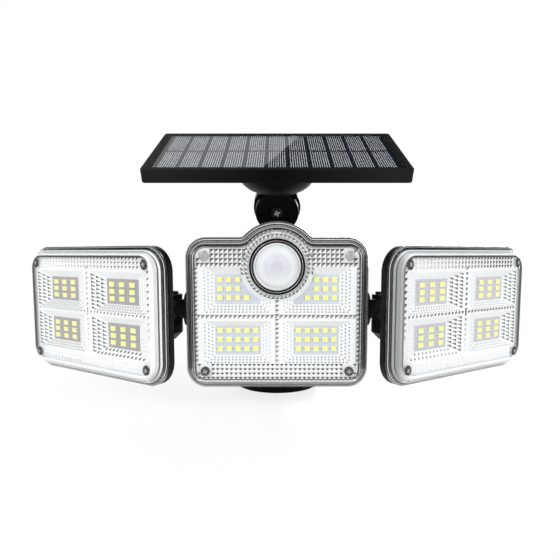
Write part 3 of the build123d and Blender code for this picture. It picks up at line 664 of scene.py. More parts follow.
class Skin(Enum):
    """Finishes of the floodlight."""

    BLACK = MouldedPlastic("black_satin_plastic", (0.0035, 0.0035, 0.0038), 0.42, 0.0, 2200.0, 0.004, 0.14)
    # The arms' plastic is a paler copy of the black satin plastic: painted light, along with more real
    # gloss
    ARM = MouldedPlastic("satin_arm_plastic", (0.011, 0.011, 0.0115), 0.4, 0.0, 2200.0, 0.005, 0.2)
    # The frame's plastic carries painted light, paler towards the ends of the bar
    FRAME = FramePlastic("black_frame_plastic", (0.0015, 0.0015, 0.0015), 0.42, 0.0, 2200.0, 0.001, 0.04)
    # The base's plastic is a darker copy of the black plastic: painted shade, with less real gloss too
    BASE = MouldedPlastic("deep_black_plastic", (0.001, 0.001, 0.001), 0.5, 0.0, 2200.0, 0.002, 0.06)
    GLOSS = MouldedPlastic("glossy_black_plastic", (0.003, 0.003, 0.003), 0.35, 0.0, 2200.0, 0.002, 0.06)
    # The seals' colours change with height as painted shade; the side seal is grey only along its bottom
    # edge, as painted light
    CENTRE_SEAL = SealRubber("grey_seal_centre", (0.20, 0.20, 0.205), 0.55)
    SIDE_SEAL = SealRubber(
        "black_seal_side", (0.35, 0.35, 0.36), 0.55, 0.0, (0.004, 0.004, 0.004), (0.017, 0.024), 0.06
    )
    RUBBER = MouldedPlastic("black_seal_rubber", (0.008, 0.008, 0.0085), 0.68, 0.0, 1400.0, 0.012, 0.15)
    LENS = ClearPlastic("clear_lens_plastic", (0.99, 0.995, 1.0), 0.01)
    GLASS = ClearPlastic("panel_cover_glass", (0.98, 0.99, 1.0), 0.01, 0.0, 1.5)
    TRAY = WhiteTray("white_reflector_plastic", (0.93, 0.935, 0.94), 0.34)
    CENTRE_BOARD = BoardMask("pale_blue_board", (0.60, 0.63, 0.70), 0.5)
    # The left lamp's board is a darker copy of the right one's: painted shade
    LEFT_BOARD = BoardMask("mauve_board_left", (0.34, 0.32, 0.33), 0.5, 0.0, 0.0023, radians(-33.0))
    RIGHT_BOARD = BoardMask("mauve_board_right", (0.53, 0.52, 0.57), 0.5, 0.0, 0.0023, radians(33.0))
    CHIP_BODY = WhiteTray("cream_chip_package", (0.93, 0.92, 0.78), 0.45)
    PHOSPHOR = TintedChip("yellow_phosphor", (0.98, 0.96, 0.16), 0.4)
    SOLDER = PlatedSteel("chip_solder", (0.52, 0.44, 0.42), 0.4, 0.6)
    STEEL = PlatedSteel("grey_screw_steel", (0.07, 0.07, 0.072), 0.36, 0.7)
    # The centre lamp's top two screws are paler: a painted reflection
    CENTRE_STEEL = ShadedSteel("grey_screw_steel_centre", (0.08, 0.08, 0.082), 0.36, 0.7)
    # Paler than the screw heads: a painted highlight in the cross recesses
    RECESS = PlatedSteel("screw_recess_steel", (0.42, 0.42, 0.43), 0.4, 0.6)
    CHROME = PlatedSteel("bright_ring_bead", (0.80, 0.80, 0.80), 0.2, 0.95)
    BRIGHT_STEEL = PlatedSteel("bright_screw_steel", (0.68, 0.68, 0.69), 0.28, 0.95)
    BLACK_STEEL = PlatedSteel("blackened_steel", (0.045, 0.045, 0.048), 0.36, 0.7)
    # Bright cross recess of the knuckle screw: a painted highlight
    WORN = PlatedSteel("worn_screw_recess", (0.80, 0.80, 0.80), 0.45, 0.2)
    # Rim strips carry painted shade and painted highlight, read from their tones
    RIM = PrismFacet("rim_shade", (0.95, 0.955, 0.96), 0.3, 0.0, "tone")
    # Lit and shaded copies of the prism plastic: the upper and left facets carry painted shade
    PRISM_LIT = WhiteTray("prism_lit_facet", (0.95, 0.955, 0.96), 0.22)
    PRISM_UP = PrismFacet("prism_upper_facet", (0.95, 0.955, 0.96), 0.22)
    PRISM_LEFT = PrismFacet("prism_left_facet", (0.95, 0.955, 0.96), 0.22, 0.0, "left_tone")
    DOME = MilkyDome("milky_sensor_dome", (0.63, 0.655, 0.70), 0.45)
    SENSOR_CAN = PlatedSteel("sensor_can_steel", (0.62, 0.61, 0.58), 0.3, 0.9)
    SLEEVE = MouldedPlastic("blue_battery_sleeve", (0.02, 0.10, 0.32), 0.3)
    CIRCUIT = BoardMask("green_circuit_board", (0.03, 0.16, 0.08), 0.45)
    CELL = Silicon("silicon_cell", (0.008, 0.010, 0.020), 0.2)
    FINGER = PrintedSilver("printed_silver", (0.92, 0.93, 0.95), 0.4)
    BACKING = MouldedPlastic("navy_panel_backing", (0.002, 0.005, 0.013), 0.3, 0.0, 900.0, 0.002, 0.1)

    def material(self) -> bpy.types.Material:
        """The finish's material."""
        return self.value.material()


class Facet(Enum):
    """Numbers written on a prism's facets."""

    LIT = 0
    UP = 1
    LEFT = 2


def link(name: str, mesh: bpy.types.Mesh) -> bpy.types.Object:
    """Put a mesh in the scene as an object at the origin.

    Args:
        name: Name of the object.
        mesh: Its mesh.

    Returns:
        The object.
    """
    piece = bpy.data.objects.new(name, mesh)
    bpy.context.scene.collection.objects.link(piece)
    return piece


def keep(piece: bpy.types.Object, body: str, slot: str) -> None:
    """Let a piece ride on a body, and report it.

    Args:
        piece: The piece, at the origin.
        body: Body that it rides on.
        slot: Its material slot; not used.
    """
    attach(piece, body)
    log.info("%s: %d faces", piece.name, len(piece.data.polygons))


def square(half: float, height: float) -> list[Point]:
    """Corners of a level square about the origin."""
    return [(-half, -half, height), (half, -half, height), (half, half, height), (-half, half, height)]


def mesh_of(name: str, points: Iterable[Point], faces: Iterable[Sequence[int]]) -> bpy.types.Mesh:
    """Make a mesh from points and faces.

    Args:
        name: Name of the mesh.
        points: Its points.
        faces: Numbers of the points round each face.

    Returns:
        The mesh.
    """
    mesh = bpy.data.meshes.new(name)
    mesh.from_pydata(list(points), [], list(faces))
    mesh.update()
    return mesh


def lathe(name: str, profile: Sequence[Pair], steps: int) -> bpy.types.Mesh:
    """Turn a closed profile about the third axis.

    Args:
        name: Name of the mesh.
        profile: Radius and height pairs, anticlockwise with the radius to the right.
        steps: Facets in a turn.

    Returns:
        The closed mesh.
    """
    count = len(profile)
    points = []
    for i in range(steps):
        angle = 2 * pi * i / steps
        points += [(r * cos(angle), r * sin(angle), h) for r, h in profile]
    faces = []
    for i in range(steps):
        here, there = i * count, (i + 1) % steps * count
        for j in range(count):
            k = (j + 1) % count
            faces.append((here + j, there + j, there + k, here + k))
    mesh = mesh_of(name, points, faces)
    mesh.polygons.foreach_set("use_smooth", [True] * len(mesh.polygons))
    return mesh


def unit_prism() -> bpy.types.Object:
    """Square pyramid of unit size with a number on each facet.

    Returns:
        The shape.
    """
    corners = square(0.5, 0.0) + [(0.0, 0.0, 1.0)]
    faces = [(0, 3, 2, 1), (0, 1, 4), (1, 2, 4), (2, 3, 4), (3, 0, 4)]
    mesh = mesh_of("prism_shape", corners, faces)
    numbers = mesh.attributes.new("facet", "FLOAT", "FACE")
    numbers.data.foreach_set("value", [0, 0, 0, Facet.UP.value, Facet.LEFT.value])
    return link("prism_shape", mesh)


def unit_plate(chamfer: float = 0.08, shoulder: float = 0.6) -> bpy.types.Object:
    """Flat plate of unit size with chamfered top edges.

    Args:
        chamfer: Width of the chamfer.
        shoulder: Height at which it starts.

    Returns:
        The shape.
    """
    inner = 0.5 - chamfer
    points = []
    for half, height in ((0.5, 0.0), (0.5, shoulder), (inner, 1.0)):
        points += square(half, height)
    faces = [(3, 2, 1, 0), (8, 9, 10, 11)]
    for low in (0, 4):
        for i in range(4):
            j = (i + 1) % 4
            faces.append((low + i, low + j, low + 4 + j, low + 4 + i))
    return link("plate_shape", mesh_of("plate_shape", points, faces))


def unit_cross(arm: float = 0.16) -> bpy.types.Object:
    """Cross of unit width and height, as the recess of a screw.

    Args:
        arm: Half the width of an arm.

    Returns:
        The shape.
    """
    ring = [
        (-arm, -0.5), (arm, -0.5), (arm, -arm), (0.5, -arm), (0.5, arm), (arm, arm),
        (arm, 0.5), (-arm, 0.5), (-arm, arm), (-0.5, arm), (-0.5, -arm), (-arm, -arm),
    ]
    points = [(x, y, h) for h in (0.0, 1.0) for x, y in ring]
    count = len(ring)
    faces = [tuple(reversed(range(count))), tuple(range(count, 2 * count))]
    faces += [(i, (i + 1) % count, count + (i + 1) % count, count + i) for i in range(count)]
    return link("cross_shape", mesh_of("cross_shape", points, faces))


def unit_ring(hole: float = 0.8, steps: int = 40) -> bpy.types.Object:
    """Flat ring of unit width and height, with a hole of a share of its width."""
    profile = [(0.5 * hole, 0.0), (0.5, 0.0), (0.5, 1.0), (0.5 * hole, 1.0)]
    return link("ring_shape", lathe("ring_shape", profile, steps))


class Scatter:
    """Geometry Nodes tree that sets one shape on every point of a mesh."""

    def __init__(self, name: str) -> None:
        """Build the tree with its named inputs.

        Args:
            name: Name of the tree.
        """
        self.tree = bpy.data.node_groups.new(name, "GeometryNodeTree")
        self.inputs: dict[str, str] = {}
        canvas = Canvas(self.tree)
        face = self.tree.interface
        face.new_socket(name="Geometry", in_out="OUTPUT", socket_type="NodeSocketGeometry")
        face.new_socket(name="Geometry", in_out="INPUT", socket_type="NodeSocketGeometry")
        kinds = {
            "Shape": "NodeSocketObject",
            "Seed": "NodeSocketInt",
            "Lit": "NodeSocketMaterial",
            "Up": "NodeSocketMaterial",
            "Left": "NodeSocketMaterial",
        }
        for title, kind in kinds.items():
            socket = face.new_socket(name=title, in_out="INPUT", socket_type=kind)
            self.inputs[title] = socket.identifier
        group = self.tree.nodes.new("NodeGroupInput")
        sockets = {title: Expr(canvas, group.outputs[title]) for title in ("Geometry", *kinds)}
        shape = canvas.add("GeometryNodeObjectInfo", None, {"Object": sockets["Shape"]}, "Geometry")
        facing = self._read(canvas, "facing", "FLOAT_VECTOR")
        turn = canvas.add("FunctionNodeEulerToRotation", None, {0: facing})
        placed = canvas.add(
            "GeometryNodeInstanceOnPoints",
            None,
            {
                "Points": sockets["Geometry"],
                "Instance": shape,
                "Rotation": turn,
                "Scale": self._read(canvas, "size", "FLOAT_VECTOR"),
            },
        )
        tint = canvas.add("FunctionNodeRandomValue", {"data_type": "FLOAT"}, {"Seed": sockets["Seed"]}, 1)
        settings = {"data_type": "FLOAT", "domain": "INSTANCE"}
        tinted = canvas.add(
            "GeometryNodeStoreNamedAttribute", settings, {"Geometry": placed, "Name": "tint", "Value": tint}
        )
        body = canvas.add("GeometryNodeRealizeInstances", None, {0: tinted})
        facet = self._read(canvas, "facet", "FLOAT")
        for kind, title in ((Facet.LIT, "Lit"), (Facet.UP, "Up"), (Facet.LEFT, "Left")):
            chosen = facet.is_number(kind.value)
            inputs = {"Geometry": body, "Selection": chosen, "Material": sockets[title]}
            body = canvas.add("GeometryNodeSetMaterial", None, inputs)
        canvas.end("NodeGroupOutput", body)

    def _read(self, canvas: Canvas, name: str, kind: str) -> Expr:
        """Read an attribute by name."""
        return canvas.add("GeometryNodeInputNamedAttribute", {"data_type": kind}, {"Name": name})

    def build(
        self,
        name: str,
        spots: "Spots",
        shape: bpy.types.Object,
        skins: Sequence[Skin],
        seed: int,
        place: Matrix,
    ) -> bpy.types.Object:
        """Set the shape on the spots and keep the result as a plain mesh.

        Args:
            name: Name of the piece.
            spots: Where the shapes go.
            shape: Object that is repeated.
            skins: Finishes of the lit, upper and left facets.
            seed: Seed of the tints.
            place: Matrix from the spots' millimetres to the row frame.

        Returns:
            The piece, at the origin.
        """
        carrier = link(f"{name}_spots", spots.mesh(name))
        modifier = carrier.modifiers.new("scatter", "NODES")
        modifier.node_group = self.tree
        modifier[self.inputs["Shape"]] = shape
        modifier[self.inputs["Seed"]] = seed
        for title, skin in zip(("Lit", "Up", "Left"), skins):
            modifier[self.inputs[title]] = skin.material()
        graph = bpy.context.evaluated_depsgraph_get()
        mesh = bpy.data.meshes.new_from_object(carrier.evaluated_get(graph))
        mesh.name = name
        mesh.transform(place)
        bpy.data.objects.remove(carrier)
        return link(name, mesh)


class Spots:
    """Points in millimetres, each with a size, a facing and tones."""

    def __init__(self) -> None:
        """Start with none."""
        self.points: list[Point] = []
        self.facing: list[Point] = []
        self.size: list[Point] = []
        self.up_tone: list[float] = []
        self.left_tone: list[float] = []

    def add(
        self,
        point: Point,
        size: Point,
        facing: Point = (0.0, 0.0, 0.0),
        up_tone: float = 0.0,
        left_tone: float = 1.0,
    ) -> None:
        """Add one spot.

        Args:
            point: Place on the face.
            size: Width, height and rise of the shape.
            facing: Turn of the shape as Euler angles.
            up_tone: Painted shade of its upper facet, from dark at 0 to white at 1.
            left_tone: Painted shade of its left facet.
        """
        self.points.append(point)
        self.size.append(size)
        self.facing.append(facing)
        self.up_tone.append(up_tone)
        self.left_tone.append(left_tone)

    def mesh(self, name: str) -> bpy.types.Mesh:
        """The spots as loose points with their attributes.

        Args:
            name: Name of the piece.

        Returns:
            The mesh.
        """
        mesh = mesh_of(f"{name}_spots", self.points, [])
        for title in ("facing", "size"):
            layer = mesh.attributes.new(title, "FLOAT_VECTOR", "POINT")
            layer.data.foreach_set("vector", [c for v in getattr(self, title) for c in v])
        for title in ("up_tone", "left_tone"):
            layer = mesh.attributes.new(title, "FLOAT", "POINT")
            layer.data.foreach_set("value", getattr(self, title))
        return mesh


def face_matrix(origin: Point, right: Point, up: Point) -> Matrix:
    """Matrix from a face's millimetres to the row frame.

    Args:
        origin: Middle of the face in millimetres.
        right: Direction of the face's first axis.
        up: Direction of its second axis.

    Returns:
        The matrix, whose third axis points out of the face.
    """
    out = Vector(right).cross(Vector(up))
    turn = Matrix((right, up, out)).transposed().to_4x4()
    return Matrix.Scale(MM, 4) @ Matrix.Translation(origin) @ turn


@dataclass(frozen=True)
class Well:
    """Tapered light well: left, right, bottom and top of its mouth and its floor."""

    mouth: tuple[float, float, float, float]
    floor: tuple[float, float, float, float]

    def corner(self, share: float, across: int, up: int) -> Pair:
        """A corner of the well at a share of its depth, from the floor up.

        Args:
            share: Share of the depth.
            across: 0 for the left and 1 for the right.
            up: 0 for the bottom and 1 for the top.

        Returns:
            Its place on the face.
        """
        low, high = self.floor, self.mouth
        side, level = across, 2 + up
        return (
            low[side] + share * (high[side] - low[side]),
            low[level] + share * (high[level] - low[level]),
        )


class Level(Enum):
    """Heights of a rim strip's outer and inner edges over the front of the lens, in millimetres."""

    ON_SEAL = (-7.97, -7.97)
    ON_FLANGE = (-6.44, -6.44)
    BESIDE_TRAY = (-5.95, -5.95)
    UNDER_BEVEL = (-1.25, -0.15)
    UNDER_FACE = (-0.12, -0.12)


@dataclass(frozen=True)
class RimStrip:
    """Strip of painted shade and painted highlight round a lamp's rim, on the reflector tray's bevel unless
    its level is given.

    Its two insets from the lamp's outline, then its shades, and how much further in it reaches,
    to the right, up, left and down.
    """

    outer: float
    inner: float
    shades: FourSides
    level: Optional[Level] = None
    thickness: float = 0.12
    reach: FourSides = (0.0, 0.0, 0.0, 0.0)

    def blend(self, values: FourSides, out: Vector) -> float:
        """Value where the outline faces a direction, from those to the right, up, left and down."""
        sides = (out.x, out.y, -out.x, -out.y)
        return sum(value * max(0.0, side) ** 2 for value, side in zip(values, sides))


class Outline:
    """Closed line round a lamp's face, as points with the directions that they face."""

    LEAST_STEPS = 8
    STEPS_PER_RADIAN = 10

    def __init__(self) -> None:
        """Start with no points."""
        self.points: list[Vector] = []
        self.facing: list[Vector] = []

    def arc(
        self, middle: Pair, radius: float, start: float, end: float, hollow: bool = False
    ) -> None:
        """Add an arc.

        Args:
            middle: Middle of the arc.
            radius: Its radius.
            start: Angle of its first point.
            end: Angle of its last point.
            hollow: Whether the line bends inwards there.
        """
        steps = max(self.LEAST_STEPS, round(abs(end - start) * self.STEPS_PER_RADIAN))
        for i in range(steps + 1):
            angle = start + (end - start) * i / steps
            out = Vector((cos(angle), sin(angle)))
            self.points.append(Vector(middle) + radius * out)
            self.facing.append(-out if hollow else out)


class Wall(Enum):
    """Walls of a well as their two corners, (across, up) each, and the outward slope."""

    LEFT = ((0, 1), (0, 0), (-1, 0))
    RIGHT = ((1, 0), (1, 1), (1, 0))
    BOTTOM = ((0, 0), (1, 0), (0, -1))


@dataclass
class LampFace:
    """What the three lamps' faces share. Sizes in millimetres."""

    name: str
    body: str
    scatter: Scatter
    shapes: dict[str, bpy.types.Object]
    tray_front: float = 2.4
    board_front: float = 6.4
    chip_top: float = 5.6
    screw_seat: float = 1.2
    screw_rise: float = 1.8
    screw_clear: float = 4.4
    recess: float = 2.9
    recess_depth: float = 0.5
    recess_proud: float = 0.03
    recess_turn: float = 0.4
    recess_step: float = 0.5
    chip: Pair = (3.5, 3.1)
    chip_rim: float = 0.15
    phosphor_rise: float = 0.12
    pad_width: float = 0.5
    pad_rise: float = 0.25
    pad_share: float = 0.6
    prism_pitch: float = 2.9
    prism_rise: float = 0.85
    dot_pitch: float = 2.25
    dot_size: Pair = (1.45, 1.45)
    dot_rise: float = 0.45
    dot_rows: tuple[float, ...] = (0.2, 0.52, 0.84)
    bevel_end: float = 7.2
    rim_lift: float = 0.25
    strips: tuple[RimStrip, ...] = ()

    def place(self) -> Matrix:
        """Matrix from the face's millimetres to the row frame."""
        raise NotImplementedError

    def screws(self) -> list[Pair]:
        """Middles of the lens screws."""
        raise NotImplementedError

    def chips(self) -> list[Pair]:
        """Middles of the light chips."""
        raise NotImplementedError

    def outline(self, inset: float) -> Outline:
        """The lamp's outline, drawn in by an inset."""
        raise NotImplementedError

    def dress_rim(self) -> None:
        """Strips of painted shade and painted highlight that are seen through the lens's rim, as one piece.
        """
        points: list[Point] = []
        tones: list[float] = []
        faces: list[tuple[int, ...]] = []
        for strip in self.strips:
            first = len(points)
            outer, inner = self.outline(strip.outer), self.outline(strip.inner)
            bevel = self.rim_lift - self.tray_front - self.bevel_end
            high, low = strip.level.value if strip.level else (bevel + strip.outer, bevel + strip.inner)
            for a, b, out in zip(outer.points, inner.points, outer.facing):
                b = b + (b - a) * (strip.blend(strip.reach, out) / (strip.inner - strip.outer))
                points += [(*a, high), (*b, low)]
                points += [(*b, low - strip.thickness), (*a, high - strip.thickness)]
                # Painted shade and highlight, by which way the outline faces
                tones += [strip.blend(strip.shades, out)] * 4
            count = len(outer.points)
            for i in range(count):
                here, there = first + 4 * i, first + 4 * ((i + 1) % count)
                faces += [(here + j, there + j, there + (j + 1) % 4, here + (j + 1) % 4) for j in range(4)]
        mesh = mesh_of(f"{self.name}_rim_shade", points, faces)
        mesh.attributes.new("tone", "FLOAT", "POINT").data.foreach_set("value", tones)
        mesh.materials.append(Skin.RIM.material())
        mesh.transform(self.place())
        keep(link(mesh.name, mesh), self.body, "black_rubber")

    def clear(self, u: float, v: float) -> bool:
        """Whether a prism has room at a place."""
        return all((u - x) ** 2 + (v - y) ** 2 > self.screw_clear**2 for x, y in self.screws())

    def prism(
        self, spots: Spots, u: float, v: float, up: float, left: float = 1.0, share: float = 0.94
    ) -> None:
        """Add one prism on the flat of the lens, if it has room.

        Args:
            spots: List that takes the prism.
            u: Place across the face.
            v: Place up the face.
            up: Painted shade of its upper facet.
            left: Painted shade of its left facet.
            share: Its width as a share of the pitch.
        """
        if self.clear(u, v):
            side = self.prism_pitch * share
            spots.add((u, v, -self.tray_front), (side, side, self.prism_rise), up_tone=up, left_tone=left)

    def wall_dots(
        self,
        spots: Spots,
        well: Well,
        wall: Wall,
        tones: Pair,
        size: Optional[Pair] = None,
        rows: Optional[tuple[float, ...]] = None,
        pitch: Optional[float] = None,
    ) -> None:
        """Rows of small prisms on one wall of a well.

        Args:
            spots: List that takes the prisms.
            well: The well.
            wall: Which of its walls.
            tones: Painted shades of each prism's upper and left facets.
            size: Length of a prism along the wall and up it, if not the usual.
            rows: Shares of the depth that the rows are at, if not the usual.
            pitch: Distance from prism to prism, if not the usual.
        """
        start, end, slope = wall.value
        depth = self.board_front - self.tray_front
        floor, mouth = Vector(well.corner(0, *start)), Vector(well.corner(1, *start))
        run = abs((mouth - floor).dot(Vector(slope)))
        length = sqrt(run**2 + depth**2)
        normal = Vector((-slope[0] * depth / length, -slope[1] * depth / length, run / length))
        climb = Vector((slope[0] * run / length, slope[1] * run / length, depth / length))
        turn = Matrix((climb.cross(normal), climb, normal)).transposed().to_euler()
        for share in rows or self.dot_rows:
            first = Vector(well.corner(share, *start))
            last = Vector(well.corner(share, *end))
            count = max(2, round((last - first).length / (pitch or self.dot_pitch)))
            for i in range(count):
                u, v = first.lerp(last, (i + 0.5) / count)
                spread = (*(size or self.dot_size), self.dot_rise)
                spots.add((u, v, share * depth - self.board_front), spread, tuple(turn), *tones)

    def set_out(
        self, title: str, spots: Spots, shape: str, skins: Sequence[Skin], slot: str, seed: int = 1
    ) -> None:
        """Set a shape on spots as one piece of the lamp.

        Args:
            title: What the piece is, after the lamp's name.
            spots: Where the shapes go.
            shape: Name of the shape.
            skins: Finishes of its lit, upper and left facets.
            slot: Material slot of the piece.
            seed: Seed of the tints.
        """
        name = f"{self.name}_{title}"
        piece = self.scatter.build(name, spots, self.shapes[shape], skins, seed, self.place())
        keep(piece, self.body, slot)

    def dress_chips(self) -> None:
        """Phosphor on every chip and solder at its two ends."""
        width, height = self.chip
        glow = (width - 2 * self.chip_rim, height - 2 * self.chip_rim, self.phosphor_rise)
        pad = (self.pad_width, height * self.pad_share, self.pad_rise)
        phosphor, solder = Spots(), Spots()
        for u, v in self.chips():
            phosphor.add((u, v, -self.chip_top), glow)
            for side in (-1, 1):
                solder.add((u + side * (width + self.pad_width) / 2, v, -self.board_front), pad)
        seed = len(self.name)
        self.set_out("phosphor", phosphor, "plate", [Skin.PHOSPHOR] * 3, "light_chip", seed)
        self.set_out("solder", solder, "plate", [Skin.SOLDER] * 3, "steel", seed)

    def dress_screws(self) -> None:
        """Cross recesses in the lens screws, paler than the heads as a painted highlight."""
        spots = Spots()
        size = (self.recess, self.recess, self.recess_depth + self.recess_proud)
        level = self.screw_rise - self.screw_seat - self.recess_depth
        for i, (u, v) in enumerate(self.screws()):
            spots.add((u, v, level), size, (0.0, 0.0, self.recess_turn + self.recess_step * i))
        self.set_out("screw_recesses", spots, "cross", [Skin.RECESS] * 3, "black_steel")

    def dress_prisms(self, spots: Spots) -> None:
        """Turn the gathered prisms into one piece."""
        skins = [Skin.PRISM_LIT, Skin.PRISM_UP, Skin.PRISM_LEFT]
        self.set_out("prisms", spots, "prism", skins, "clear_lens", 3)


@dataclass
class CentreFace(LampFace):
    """Face of the centre lamp, with the sensor window."""

    face_y: float = -65.0
    lens_bottom: float = 12.4
    width: float = 116.2
    height: float = 96.3
    corner: float = 13.0
    bump: float = 28.6
    bump_foot: float = 4.0
    screw_x: float = 45.5
    screw_z: float = 36.4
    middle: float = 48.15
    sensor: float = 77.9
    ring_clear: float = 18.6
    band_start: float = 18.8
    divider_count: int = 14
    mouth_x: Pair = (3.5, 46.5)
    floor_x: Pair = (10.5, 39.5)
    low_well: tuple[Pair, Pair] = ((16.6, 43.8), (21.3, 40.0))
    high_well: tuple[Pair, Pair] = ((48.8, 77.6), (53.9, 73.0))
    chip_ends: Pair = (13.65, 36.35)
    low_start: float = 25.3
    low_pitch: float = 5.95
    high_start: float = 58.1
    high_pitch: float = 5.7
    bottom_rows: tuple[float, ...] = (14.9, 12.1, 9.3, 6.5)
    top_rows: tuple[float, ...] = (87.6, 84.7, 81.8, 78.9)
    band_half: float = 48.6
    column: float = 51.0
    strip: float = 46.3
    rings: tuple[tuple[float, int], ...] = ((19.2, 46), (21.7, 52))
    teeth_drop: float = 4.0
    teeth_top: float = 99.5
    teeth_share: float = 0.82

    def place(self) -> Matrix:
        """Matrix from the face's millimetres, with zero at the lens's bottom middle."""
        return face_matrix((0.0, self.face_y, self.lens_bottom), (1, 0, 0), (0, 0, 1))

    def screws(self) -> list[Pair]:
        """Middles of the four lens screws."""
        return [(x * self.screw_x, self.middle + z * self.screw_z) for x in (-1, 1) for z in (-1, 1)]

    def chips(self) -> list[Pair]:
        """Middles of the chips, fifteen in each lower well and ten in each upper one.

        Returns:
            Their places on the face.
        """
        first, last = self.chip_ends
        columns = [first + (last - first) * i / 4 for i in range(5)]
        low = [(x, self.low_start + j * self.low_pitch) for x in columns for j in range(3)]
        high = [(x, self.high_start + j * self.high_pitch) for x in columns[2:] for j in range(3)]
        high.append((columns[1], self.high_start))
        return [(side * x, z) for side in (-1, 1) for x, z in low + high]

    def wells(self) -> list[tuple[Well, int]]:
        """The four wells and the side that each is on.

        Returns:
            The wells, each with -1 or 1.
        """
        found = []
        for side in (-1, 1):
            mouth = sorted(side * x for x in self.mouth_x)
            floor = sorted(side * x for x in self.floor_x)
            for mouth_z, floor_z in (self.low_well, self.high_well):
                found.append((Well((*mouth, *mouth_z), (*floor, *floor_z)), side))
        return found

    def outline(self, inset: float) -> Outline:
        """Rounded rectangle with the sensor's round bump on top.

        Args:
            inset: How far it is drawn in.

        Returns:
            The outline.
        """
        corner, reach, foot = self.corner - inset, self.bump - inset, self.bump_foot + inset
        side, top = self.width / 2 - inset - corner, self.height - inset
        rise = top + foot - self.sensor
        foot_x = sqrt((reach + foot) ** 2 - rise**2)
        lean = atan2(rise, foot_x)
        line = Outline()
        line.arc((side, inset + corner), corner, -pi / 2, 0.0)
        line.arc((side, top - corner), corner, 0.0, pi / 2)
        line.arc((foot_x, top + foot), foot, 3 * pi / 2, pi + lean, True)
        line.arc((0.0, self.sensor), reach, lean, pi - lean)
        line.arc((-foot_x, top + foot), foot, -lean, -pi / 2, True)
        line.arc((-side, top - corner), corner, pi / 2, pi)
        line.arc((-side, inset + corner), corner, pi, 3 * pi / 2)
        return line

    def clear(self, u: float, v: float) -> bool:
        """Room beside the screws and the sensor's ring."""
        away = sqrt(u**2 + (v - self.sensor) ** 2)
        return away > self.ring_clear and super().clear(u, v)

    def prisms(self) -> Spots:
        """Prism bands, strips, collar teeth and wall dots.

        Returns:
            All the prisms.
        """
        spots = Spots()
        columns = round(2 * self.band_half / self.prism_pitch)
        across = [(i - columns / 2) * self.prism_pitch for i in range(columns + 1)]
        # The up and left values are painted shade on each prism's facets
        for v in self.bottom_rows:
            for u in across:
                self.prism(spots, u, v, up=0.0, share=0.92)
        for v in self.top_rows:
            for u in across:
                if abs(u) > self.band_start:
                    self.prism(spots, u, v, up=0.03, left=0.2, share=1.0)
        rows = round((self.top_rows[-1] - self.bottom_rows[0]) / self.prism_pitch)
        levels = [self.bottom_rows[0] + i * self.prism_pitch for i in range(1, rows)]
        for side in (-1, 1):
            for v in levels:
                self.prism(spots, side * self.column, v, up=0.08, left=0.5)
        for u in across:
            self.prism(spots, u, self.strip, up=0.1, left=0.3)
        for i, v in enumerate(levels[: self.divider_count]):
            fade = 0.03 * max(0, self.divider_count // 2 - i)
            self.prism(spots, 0.0, v, up=0.05 + fade, left=0.6)
        self.teeth(spots)
        for well, side in self.wells():
            outer, inner = (Wall.RIGHT, Wall.LEFT) if side > 0 else (Wall.LEFT, Wall.RIGHT)
            self.wall_dots(spots, well, Wall.BOTTOM, tones=(0.1, 0.6))
            self.wall_dots(spots, well, outer, tones=(0.1 if side > 0 else 0.35, 0.75))
            self.wall_dots(spots, well, inner, tones=(0.6, 0.9))
        return spots

    def teeth(self, spots: Spots) -> None:
        """Prisms in rings round the sensor.

        Args:
            spots: List that takes the prisms.
        """
        for radius, count in self.rings:
            for i in range(count):
                angle = 2 * pi * (i + 0.5) / count
                u, v = radius * cos(angle), self.sensor + radius * sin(angle)
                inside = v > self.sensor - self.teeth_drop or radius < self.rings[-1][0]
                if inside and v < self.teeth_top:
                    side = self.prism_pitch * self.teeth_share
                    spots.add(
                        (u, v, -self.tray_front), (side, side, self.prism_rise),
                        (0.0, 0.0, angle - pi / 2), 0.05, 0.45,
                    )

    def build(self) -> None:
        """Dress the whole face."""
        self.dress_chips()
        self.dress_screws()
        self.dress_rim()
        self.dress_prisms(self.prisms())


